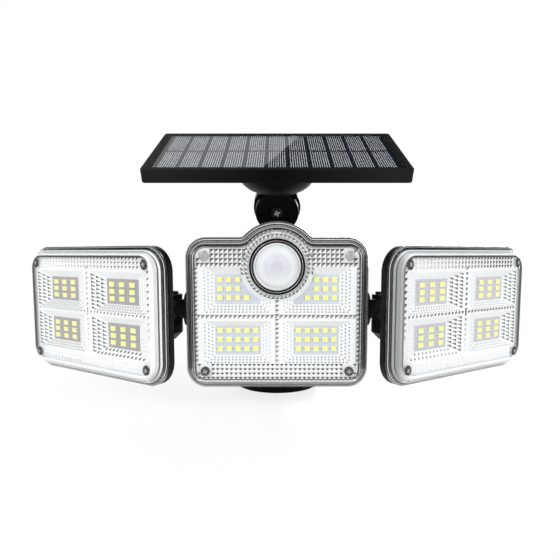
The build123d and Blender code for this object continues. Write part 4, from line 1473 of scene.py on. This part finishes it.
@dataclass
class SideFace(LampFace):
    """Face of a side lamp. Side is -1 on the left and 1 on the right."""

    side: int = -1
    pin: Pair = (70.1, -42.0)
    yaw: float = radians(33.0)
    middle: float = 59.75
    inner_edge: float = 22.8
    pin_to_face: float = 34.6
    width: float = 135.0
    height: float = 87.0
    corner: float = 16.0
    screw_x: float = 56.0
    screw_z: float = 32.2
    # Width and rise of the dark rings of painted shade under the screw heads
    shade_ring: float = 6.5
    shade_ring_rise: float = 0.06
    well_x: float = 30.1
    well_z: float = 14.4
    mouth: Pair = (52.2, 25.6)
    floor: Pair = (30.4, 16.4)
    chip: Pair = (4.6, 3.0)
    pitch: Pair = (9.6, 4.6)
    top_rows: tuple[float, ...] = (35.2, 32.5, 29.8)
    top_half: float = 49.0
    low_rows: tuple[float, ...] = (-30.2, -32.5, -34.8)
    low_half: int = 15
    low_clear: float = -8.0
    low_fades: Pair = (0.88, 0.5)
    divider_halves: tuple[int, int] = (16, 8)
    inner_column: float = 57.9
    column_top: float = 27.0
    column_pitch: float = 3.9
    column_count: int = 11
    prism_pitch: float = 3.4
    dot_pitch: float = 2.5
    dot_size: Pair = (1.8, 1.8)
    outer_dot: Pair = (1.9, 3.6)
    dash_size: Pair = (1.8, 2.1)
    dash_rows: tuple[float, ...] = (0.24, 0.76)
    dash_pitch: float = 3.7

    def place(self) -> Matrix:
        """Matrix from the face's millimetres, with zero at its middle.

        Returns:
            The matrix.
        """
        right = (cos(self.yaw), self.side * sin(self.yaw), 0.0)
        out = (self.side * sin(self.yaw), -cos(self.yaw), 0.0)
        reach = self.side * (self.width / 2 - self.inner_edge)
        origin = (
            self.side * self.pin[0] + right[0] * reach + out[0] * self.pin_to_face,
            self.pin[1] + right[1] * reach + out[1] * self.pin_to_face,
            self.middle,
        )
        return face_matrix(origin, right, (0, 0, 1))

    def screws(self) -> list[Pair]:
        """Middles of the four lens screws."""
        return [(x * self.screw_x, z * self.screw_z) for x in (-1, 1) for z in (-1, 1)]

    def chips(self) -> list[Pair]:
        """Middles of the chips, nine in each well.

        Returns:
            Their places on the face.
        """
        return [
            (x * self.well_x + i * self.pitch[0], z * self.well_z + j * self.pitch[1])
            for x in (-1, 1) for z in (-1, 1) for i in (-1, 0, 1) for j in (-1, 0, 1)
        ]

    def wells(self) -> list[Well]:
        """The four wells.

        Returns:
            The wells.
        """
        found = []
        for x in (-1, 1):
            for z in (-1, 1):
                rims = []
                for width, height in (self.mouth, self.floor):
                    u, v = x * self.well_x, z * self.well_z
                    rims.append((u - width / 2, u + width / 2, v - height / 2, v + height / 2))
                found.append(Well(*rims))
        return found

    def outline(self, inset: float) -> Outline:
        """Rounded rectangle.

        Args:
            inset: How far it is drawn in.

        Returns:
            The outline.
        """
        corner = self.corner - inset
        side, rise = self.width / 2 - self.corner, self.height / 2 - self.corner
        line = Outline()
        line.arc((side, -rise), corner, -pi / 2, 0.0)
        line.arc((side, rise), corner, 0.0, pi / 2)
        line.arc((-side, rise), corner, pi / 2, pi)
        line.arc((-side, -rise), corner, pi, 3 * pi / 2)
        return line

    def prisms(self) -> Spots:
        """Rows along the top and bottom, the dividers, the inner column and wall dots.

        Returns:
            All the prisms.
        """
        spots = Spots()
        columns = round(2 * self.top_half / self.prism_pitch)
        # Each fade is painted shade on the prisms' facets, lighter where it fades
        for v in self.top_rows:
            for i in range(columns + 1):
                u = (i - columns / 2) * self.prism_pitch
                fade = min(0.95, max(0.0, 0.3 - u / self.width * 1.2))
                self.prism(spots, u, v, fade, fade, share=0.7)
        plain, clear = self.low_fades
        for v in self.low_rows:
            for i in range(-self.low_half, self.low_half + 1):
                u = i * self.prism_pitch
                is_clear = self.side < 0 and u < self.low_clear and v == self.low_rows[-1]
                fade = clear if is_clear else plain
                self.prism(spots, u, v, fade, fade, share=0.6)
        across, rise = self.divider_halves
        for i in range(-across, across + 1):
            u = i * self.prism_pitch
            fade = 0.3 * max(0.0, -u / self.width * 2)
            self.prism(spots, u, 0.0, fade, fade, share=0.6)
        for i in range(-rise, rise + 1):
            fade = 0.1 * max(0, -i)
            self.prism(spots, 0.0, i * self.prism_pitch + self.prism_pitch / 2, fade, fade, share=0.6)
        for i in range(self.column_count):
            fade = 0.12 * max(0, i - self.column_count // 2)
            spot = (-self.side * self.inner_column, self.column_top - i * self.column_pitch)
            self.prism(spots, *spot, fade, fade, share=0.66)
        outer, inner = (Wall.RIGHT, Wall.LEFT) if self.side > 0 else (Wall.LEFT, Wall.RIGHT)
        for well in self.wells():
            self.wall_dots(spots, well, outer, tones=(0.0, 0.1), size=self.outer_dot)
            inner_low = well.mouth[3] < 0 and self.side * well.mouth[0] < 0
            if inner_low:
                dashes = (self.dash_size, self.dash_rows, self.dash_pitch)
                self.wall_dots(spots, well, Wall.BOTTOM, (0.0, 0.0), *dashes)
            else:
                self.wall_dots(spots, well, Wall.BOTTOM, tones=(0.3, 0.6))
            self.wall_dots(spots, well, inner, tones=(0.75, 0.95))
        return spots

    def dress_shade_rings(self) -> None:
        """Dark rings of painted shade in the screws' seats, under the heads."""
        spots = Spots()
        for u, v in self.screws():
            spots.add((u, v, -self.screw_seat), (self.shade_ring, self.shade_ring, self.shade_ring_rise))
        self.set_out("screw_washers", spots, "ring", [Skin.BASE] * 3, "black_rubber")

    def build(self) -> None:
        """Dress the whole face."""
        self.dress_chips()
        self.dress_screws()
        self.dress_shade_rings()
        self.dress_rim()
        self.dress_prisms(self.prisms())


@dataclass
class Sensor:
    """Motion sensor window: a bead on the black ring and a stepped milky dome."""

    face_y: float = -65.0
    height: float = 90.3
    bead_radius: float = 15.9
    bead: float = 0.15
    ring_proud: float = 3.0
    dome_radius: float = 14.9
    dome_rise: float = 11.9
    flange: float = 13.3
    flange_rise: float = 2.3
    wall: float = 1.2
    foot: float = -6.0
    shoulder: float = 1.6
    lip: float = 0.9
    groove: Pair = (0.25, 0.35)
    pole: float = 0.01
    rings: int = 24
    steps: int = 96
    bead_steps: int = 12

    def place(self) -> Matrix:
        """Matrix from the window's millimetres to the row frame."""
        return face_matrix((0.0, self.face_y, self.height), (1, 0, 0), (0, 0, 1))

    def dome_profile(self) -> list[Pair]:
        """Outer and inner line of the dome, from the rim to the crown and back.

        Returns:
            Radius and height pairs.
        """
        rise = self.dome_rise - self.flange_rise
        ball = (self.flange**2 + rise**2) / (2 * rise)
        lip, groove = self.flange + self.lip, self.flange + self.groove[0]
        outer = [(self.dome_radius, self.foot), (self.dome_radius, self.shoulder), (lip, self.flange_rise)]
        outer.append((groove, self.flange_rise - self.groove[1]))
        inner = []
        for i in range(self.rings + 1):
            r = self.flange * (1 - i / self.rings) + self.pole
            level = self.dome_rise - ball + sqrt(ball**2 - r**2)
            outer.append((r, level))
            inner.append((max(self.pole, r - self.wall), level - self.wall))
        return outer + list(reversed(inner))[1:] + [(self.dome_radius - self.wall, self.foot)]

    def bead_profile(self) -> list[Pair]:
        """Round section of the bead."""
        turn = [2 * pi * i / self.bead_steps for i in range(self.bead_steps)]
        return [(self.bead_radius + self.bead * cos(a), self.ring_proud + self.bead * sin(a)) for a in turn]

    def build(self) -> None:
        """Make the dome and the bead."""
        made = (
            ("sensor_dome_stepped", self.dome_profile(), Skin.DOME, "sensor_white"),
            ("sensor_ring_bead", self.bead_profile(), Skin.CHROME, "steel"),
        )
        for name, profile, skin, slot in made:
            mesh = lathe(name, profile, self.steps)
            mesh.transform(self.place())
            mesh.materials.append(skin.material())
            keep(link(name, mesh), "lamp", slot)
        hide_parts("sensor_dome")


@dataclass
class SolarPanel:
    """Solar panel: fingers printed on its cells, its backing and the seal of its glass."""

    scatter: Scatter
    shapes: dict[str, bpy.types.Object]
    lean: float = radians(28.0)
    hinge: Pair = (6.0, 105.0)
    cell_top: float = 69.85
    cells: int = 11
    cell_pitch: float = 13.9
    fingers: int = 8
    finger_pitch: float = 1.46
    finger_width: float = 0.4
    split: float = 3.2
    finger_ends: Pair = (-35.0, 37.4)
    rise: float = 0.08
    recess: Pair = (160.0, 76.4)
    recess_floor: float = 69.55
    backing: float = 0.05
    backing_gap: float = 0.2
    glass_top: float = 72.0
    seal: float = 1.7
    seal_rise: float = 0.25

    def place(self) -> Matrix:
        """Matrix from the panel's millimetres to the row frame."""
        up = (0.0, cos(self.lean), sin(self.lean))
        return face_matrix((0.0, *self.hinge), (1, 0, 0), up)

    def build(self) -> None:
        """Make the backing, the fingers and the seal round the glass."""
        self.plates("cell_fingers", self.finger_spots(), Skin.FINGER, "steel")
        backing = Spots()
        size = (*(c - self.backing_gap for c in self.recess), self.backing)
        backing.add((0.0, 0.0, self.recess_floor), size)
        self.plates("panel_backing", backing, Skin.BACKING, "black_plastic")
        self.plates("panel_seal", self.seal_spots(), Skin.BLACK, "black_rubber")

    def finger_spots(self) -> Spots:
        """Fingers in two halves on every cell.

        Returns:
            The fingers.
        """
        spots = Spots()
        front, back = self.finger_ends
        halves = ((front, -self.split / 2), (self.split / 2, back))
        for i in range(self.cells):
            middle = (i - (self.cells - 1) / 2) * self.cell_pitch
            for j in range(self.fingers):
                u = middle + (j - (self.fingers - 1) / 2) * self.finger_pitch
                for low, high in halves:
                    size = (self.finger_width, high - low, self.rise)
                    spots.add((u, (low + high) / 2, self.cell_top), size)
        return spots

    def seal_spots(self) -> Spots:
        """Four bars on the edges of the glass.

        Returns:
            The bars.
        """
        spots = Spots()
        width, depth = self.recess
        for side in (-1, 1):
            front, end = side * (depth - self.seal) / 2, side * (width - self.seal) / 2
            spots.add((0.0, front, self.glass_top), (width, self.seal, self.seal_rise))
            spots.add((end, 0.0, self.glass_top), (self.seal, depth, self.seal_rise))
        return spots

    def plates(self, name: str, spots: Spots, skin: Skin, slot: str) -> None:
        """Set plates on spots as one piece of the panel.

        Args:
            name: Name of the piece.
            spots: Where the plates go.
            skin: Their finish.
            slot: Material slot of the piece.
        """
        piece = self.scatter.build(name, spots, self.shapes["plate"], [skin] * 3, 1, self.place())
        keep(piece, "solar_panel", slot)


@dataclass
class Knuckle:
    """Cross recess of the knuckle's screw, bright as a painted highlight."""

    scatter: Scatter
    shapes: dict[str, bpy.types.Object]
    lean: float = radians(28.0)
    middle: Pair = (-8.1781, 131.665)
    head_top: float = 10.6
    recess: float = 4.4
    depth: float = 0.6
    proud: float = 0.04
    turn: float = 0.35

    def place(self) -> Matrix:
        """Matrix from the screw's millimetres to the row frame."""
        up = (0.0, -sin(self.lean), cos(self.lean))
        return face_matrix((0.0, *self.middle), (1, 0, 0), up)

    def build(self) -> None:
        """Set the recess in the screw's head."""
        spots = Spots()
        size = (self.recess, self.recess, self.depth + self.proud)
        spots.add((0.0, 0.0, self.head_top - self.depth), size, (0.0, 0.0, self.turn))
        cross, skins = self.shapes["cross"], [Skin.WORN] * 3
        piece = self.scatter.build("knuckle_screw_recess", spots, cross, skins, 1, self.place())
        keep(piece, "tilt_link", "black_steel")


class Solids:
    """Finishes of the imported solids."""

    SIDE = {
        "head_rear_shell": Skin.BLACK,
        "head_reflector": Skin.TRAY,
        "head_lens": Skin.LENS,
        "head_gasket": Skin.SIDE_SEAL,
        "head_light_chips": Skin.CHIP_BODY,
        "head_lens_screws": Skin.STEEL,
        "hinge_pin": Skin.BLACK_STEEL,
        "arm": Skin.ARM,
        "arm_clip": Skin.STEEL,
    }
    OTHER = {
        "base_bracket": Skin.BASE,
        "base_bolt": Skin.BLACK_STEEL,
        "base_nut": Skin.BRIGHT_STEEL,
        "centre_rear_shell": Skin.BLACK,
        "centre_gasket": Skin.CENTRE_SEAL,
        "centre_reflector": Skin.TRAY,
        "centre_light_board": Skin.CENTRE_BOARD,
        "centre_light_chips": Skin.CHIP_BODY,
        "centre_lens": Skin.LENS,
        "centre_lens_screws": Skin.CENTRE_STEEL,
        "sensor_ring": Skin.GLOSS,
        "sensor_dome": Skin.DOME,
        "sensor_element": Skin.SENSOR_CAN,
        "battery_cell": Skin.SLEEVE,
        "battery_cradle": Skin.BLACK,
        "control_board": Skin.CIRCUIT,
        "button_switch": Skin.BLACK,
        "mode_button": Skin.RUBBER,
        "tilt_bolt": Skin.BLACK_STEEL,
        "tilt_nut": Skin.BRIGHT_STEEL,
        "tilt_arm": Skin.BLACK,
        "knuckle_washer": Skin.RUBBER,
        "knuckle_screw": Skin.BLACK_STEEL,
        "knuckle_nut": Skin.BRIGHT_STEEL,
        "panel_bracket": Skin.BLACK,
        "panel_frame": Skin.FRAME,
        "solar_cells": Skin.CELL,
        "panel_glass": Skin.GLASS,
        "panel_screws": Skin.BRIGHT_STEEL,
        "left_head_light_board": Skin.LEFT_BOARD,
        "right_head_light_board": Skin.RIGHT_BOARD,
    }

    def dress(self) -> None:
        """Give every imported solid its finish."""
        skins = dict(self.OTHER)
        for side in ("left", "right"):
            skins.update({f"{side}_{node}": skin for node, skin in self.SIDE.items()})
        for node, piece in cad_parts.items():
            piece.data.materials.clear()
            piece.data.materials.append(skins[node].material())


@dataclass(frozen=True)
class SoftBox:
    """Soft rectangular lamp, with the point that it faces and its roll in degrees. Sizes in metres."""

    name: str
    place: Point
    aim: Point
    size: Pair
    watts: float
    roll: float = 0.0

    def hang(self) -> None:
        """Put the lamp in the scene."""
        data = bpy.data.lights.new(self.name, "AREA")
        data.shape = "RECTANGLE"
        data.size, data.size_y = self.size
        data.energy = self.watts
        lamp = bpy.data.objects.new(self.name, data)
        lamp.location = self.place
        turn = (Vector(self.aim) - Vector(self.place)).to_track_quat("-Z", "Y").to_matrix()
        lamp.rotation_euler = (turn @ Matrix.Rotation(radians(self.roll), 3, "Z")).to_euler()
        bpy.context.scene.collection.objects.link(lamp)


@dataclass
class Studio:
    """Floor, light and camera. Sizes in metres."""

    lens: float = 31.263
    eye: Point = (0.0, -0.3671, 0.0979)
    pitch: float = 5.35
    shift: Pair = (0.0052, 0.0357)
    floor_size: float = 6.0
    floor_level: float = -0.0002
    shadow_reach: Pair = (0.07, 0.2)
    daylight: float = 0.72

    def camera(self) -> None:
        """Set up the photograph's view."""
        data = bpy.data.cameras.new("photo_camera")
        data.lens = self.lens
        data.sensor_width = 36.0
        data.shift_x, data.shift_y = self.shift
        data.clip_start = 0.01
        eye = bpy.data.objects.new("photo_camera", data)
        eye.location = self.eye
        eye.rotation_euler = (radians(90.0 - self.pitch), 0.0, 0.0)
        bpy.context.scene.collection.objects.link(eye)
        bpy.context.scene.camera = eye

    def floor(self) -> None:
        """A plain pale floor."""
        mesh = mesh_of("floor", square(self.floor_size / 2, self.floor_level), [(0, 1, 2, 3)])
        finish = PaleFloor("pale_floor", (0.96, 0.96, 0.965), 0.4, 0.0, *self.shadow_reach)
        mesh.materials.append(finish.material())
        link("floor", mesh)

    def world(self) -> None:
        """Even light, a white background and a darker ceiling in reflections."""
        world = bpy.data.worlds.new("studio_world")
        world.use_nodes = True
        world.node_tree.nodes.clear()
        canvas = Canvas(world.node_tree)
        coords = canvas.add("ShaderNodeTexCoord", out="Generated")
        white, pale, dark = (1.0, 1.0, 1.0), (0.9, 0.9, 0.9), (0.02, 0.022, 0.028)
        stops = [(0.0, white), (0.42, pale), (0.62, dark), (1.0, dark)]
        ceiling = canvas.add("ShaderNodeValToRGB", {"stops": stops}, {0: canvas.part(coords, "Z")})
        mirrored = canvas.ray("Glossy").either(canvas.ray("Transmission"))
        colour = canvas.mix(mirrored, (self.daylight,) * 3, ceiling)
        colour = canvas.mix(canvas.ray("Camera"), colour, white)
        sky = canvas.add("ShaderNodeBackground", None, {"Color": colour, "Strength": 1.0})
        canvas.end("ShaderNodeOutputWorld", sky)
        bpy.context.scene.world = world

    def build(self) -> None:
        """Set up the whole studio."""
        bpy.context.scene.view_settings.view_transform = "Standard"
        self.camera()
        self.floor()
        self.world()
        middle = (0.0, 0.0, 0.09)
        boxes = (
            SoftBox("key_lamp", (-0.9, -1.3, 1.2), middle, (0.8, 0.8), 14.0),
            SoftBox("fill_lamp", (1.2, -1.0, 0.7), middle, (0.9, 0.9), 7.0),
            SoftBox("back_lamp", (0.5, 1.3, 0.3), middle, (1.0, 0.5), 14.0),
            SoftBox("panel_lamp", (-0.294, 1.317, 0.936), (0.005, 0.826, 0.117), (1.6, 1.0), 1.7, 15.0),
        )
        for box in boxes:
            box.hang()


def centre_strips() -> tuple[RimStrip, ...]:
    """Strips of painted shade and painted highlight round the centre lamp's rim.

    Returns:
        The strips.
    """
    return (
        RimStrip(3.6, 4.5, (0.06, 0.2, 0.06, 0.3)),
        RimStrip(4.9, 6.6, (0.02, 0.0, 0.02, 0.15), reach=(0.8, 0.0, 0.8, 0.0)),
        RimStrip(2.15, 2.75, (0.3, 0.9, 0.3, 0.35), Level.ON_SEAL, FILM),
        RimStrip(2.8, 3.18, (0.0, 0.0, 0.0, 0.05), Level.ON_SEAL, FILM),
        RimStrip(6.1, 6.9, (0.03, 0.25, 0.03, 0.08), Level.UNDER_FACE, FILM),
    )


def side_strips(side: int) -> tuple[RimStrip, ...]:
    """Strips of painted shade and painted highlight round a side lamp's rim.

    Args:
        side: -1 for the left lamp, 1 for the right one.

    Returns:
        The strips.
    """
    bevel, edge = (0.36, 0.15) if side > 0 else (0.9, 1.0)
    shade_liner, line = 2.0, 0.06

    def sides(outer: float, up: float, inner: float, down: float) -> FourSides:
        """Values to the right, up, left and down from those of the outer and inner sides."""
        return (outer, up, inner, down) if side > 0 else (inner, up, outer, down)

    # Dark bands, a dark sheet of painted shade beside the tray, and light lines of painted highlight on the
    # flange
    return (
        RimStrip(3.5, 4.3, sides(0.12, 0.95, bevel, 0.35)),
        RimStrip(4.4, 5.0, sides(0.12, 0.55, 0.05, 0.5)),
        RimStrip(5.1, 6.5, sides(0.12, 0.9, bevel, 0.7)),
        RimStrip(3.26, 3.42, (0.0, 0.0, 0.0, 0.9), Level.BESIDE_TRAY, shade_liner),
        RimStrip(1.2, 2.4, sides(0.0, 0.3, 0.0, 0.3), Level.ON_SEAL, FILM),
        RimStrip(0.05, 0.5, (0.0, 0.0, 0.0, 0.25), Level.ON_FLANGE, line),
        RimStrip(0.55, 0.95, sides(0.0, 0.35, 1.0, 0.3), Level.ON_FLANGE, line),
        RimStrip(4.9, 6.0, sides(0.5, 0.9, bevel, 0.9), Level.UNDER_BEVEL, FILM),
        RimStrip(6.05, 7.3, sides(0.0, 0.0, edge, 1.0), Level.UNDER_FACE, FILM, sides(1.6, 0.0, 0.0, 0.0)),
    )


def main() -> None:
    """Dress the solids, add the fine pieces and set the studio."""
    logging.basicConfig(level=logging.INFO, format="%(message)s")
    Solids().dress()
    scatter = Scatter("set_on_spots")
    shapes = {"prism": unit_prism(), "plate": unit_plate(), "cross": unit_cross(), "ring": unit_ring()}
    CentreFace("centre", "lamp", scatter, shapes, strips=centre_strips()).build()
    for name, side in (("left", -1), ("right", 1)):
        SideFace(name, f"{name}_head", scatter, shapes, strips=side_strips(side), side=side).build()
    Sensor().build()
    SolarPanel(scatter, shapes).build()
    Knuckle(scatter, shapes).build()
    for shape in shapes.values():
        bpy.data.objects.remove(shape)
    Studio().build()


if __name__ == "__main__":
    main()
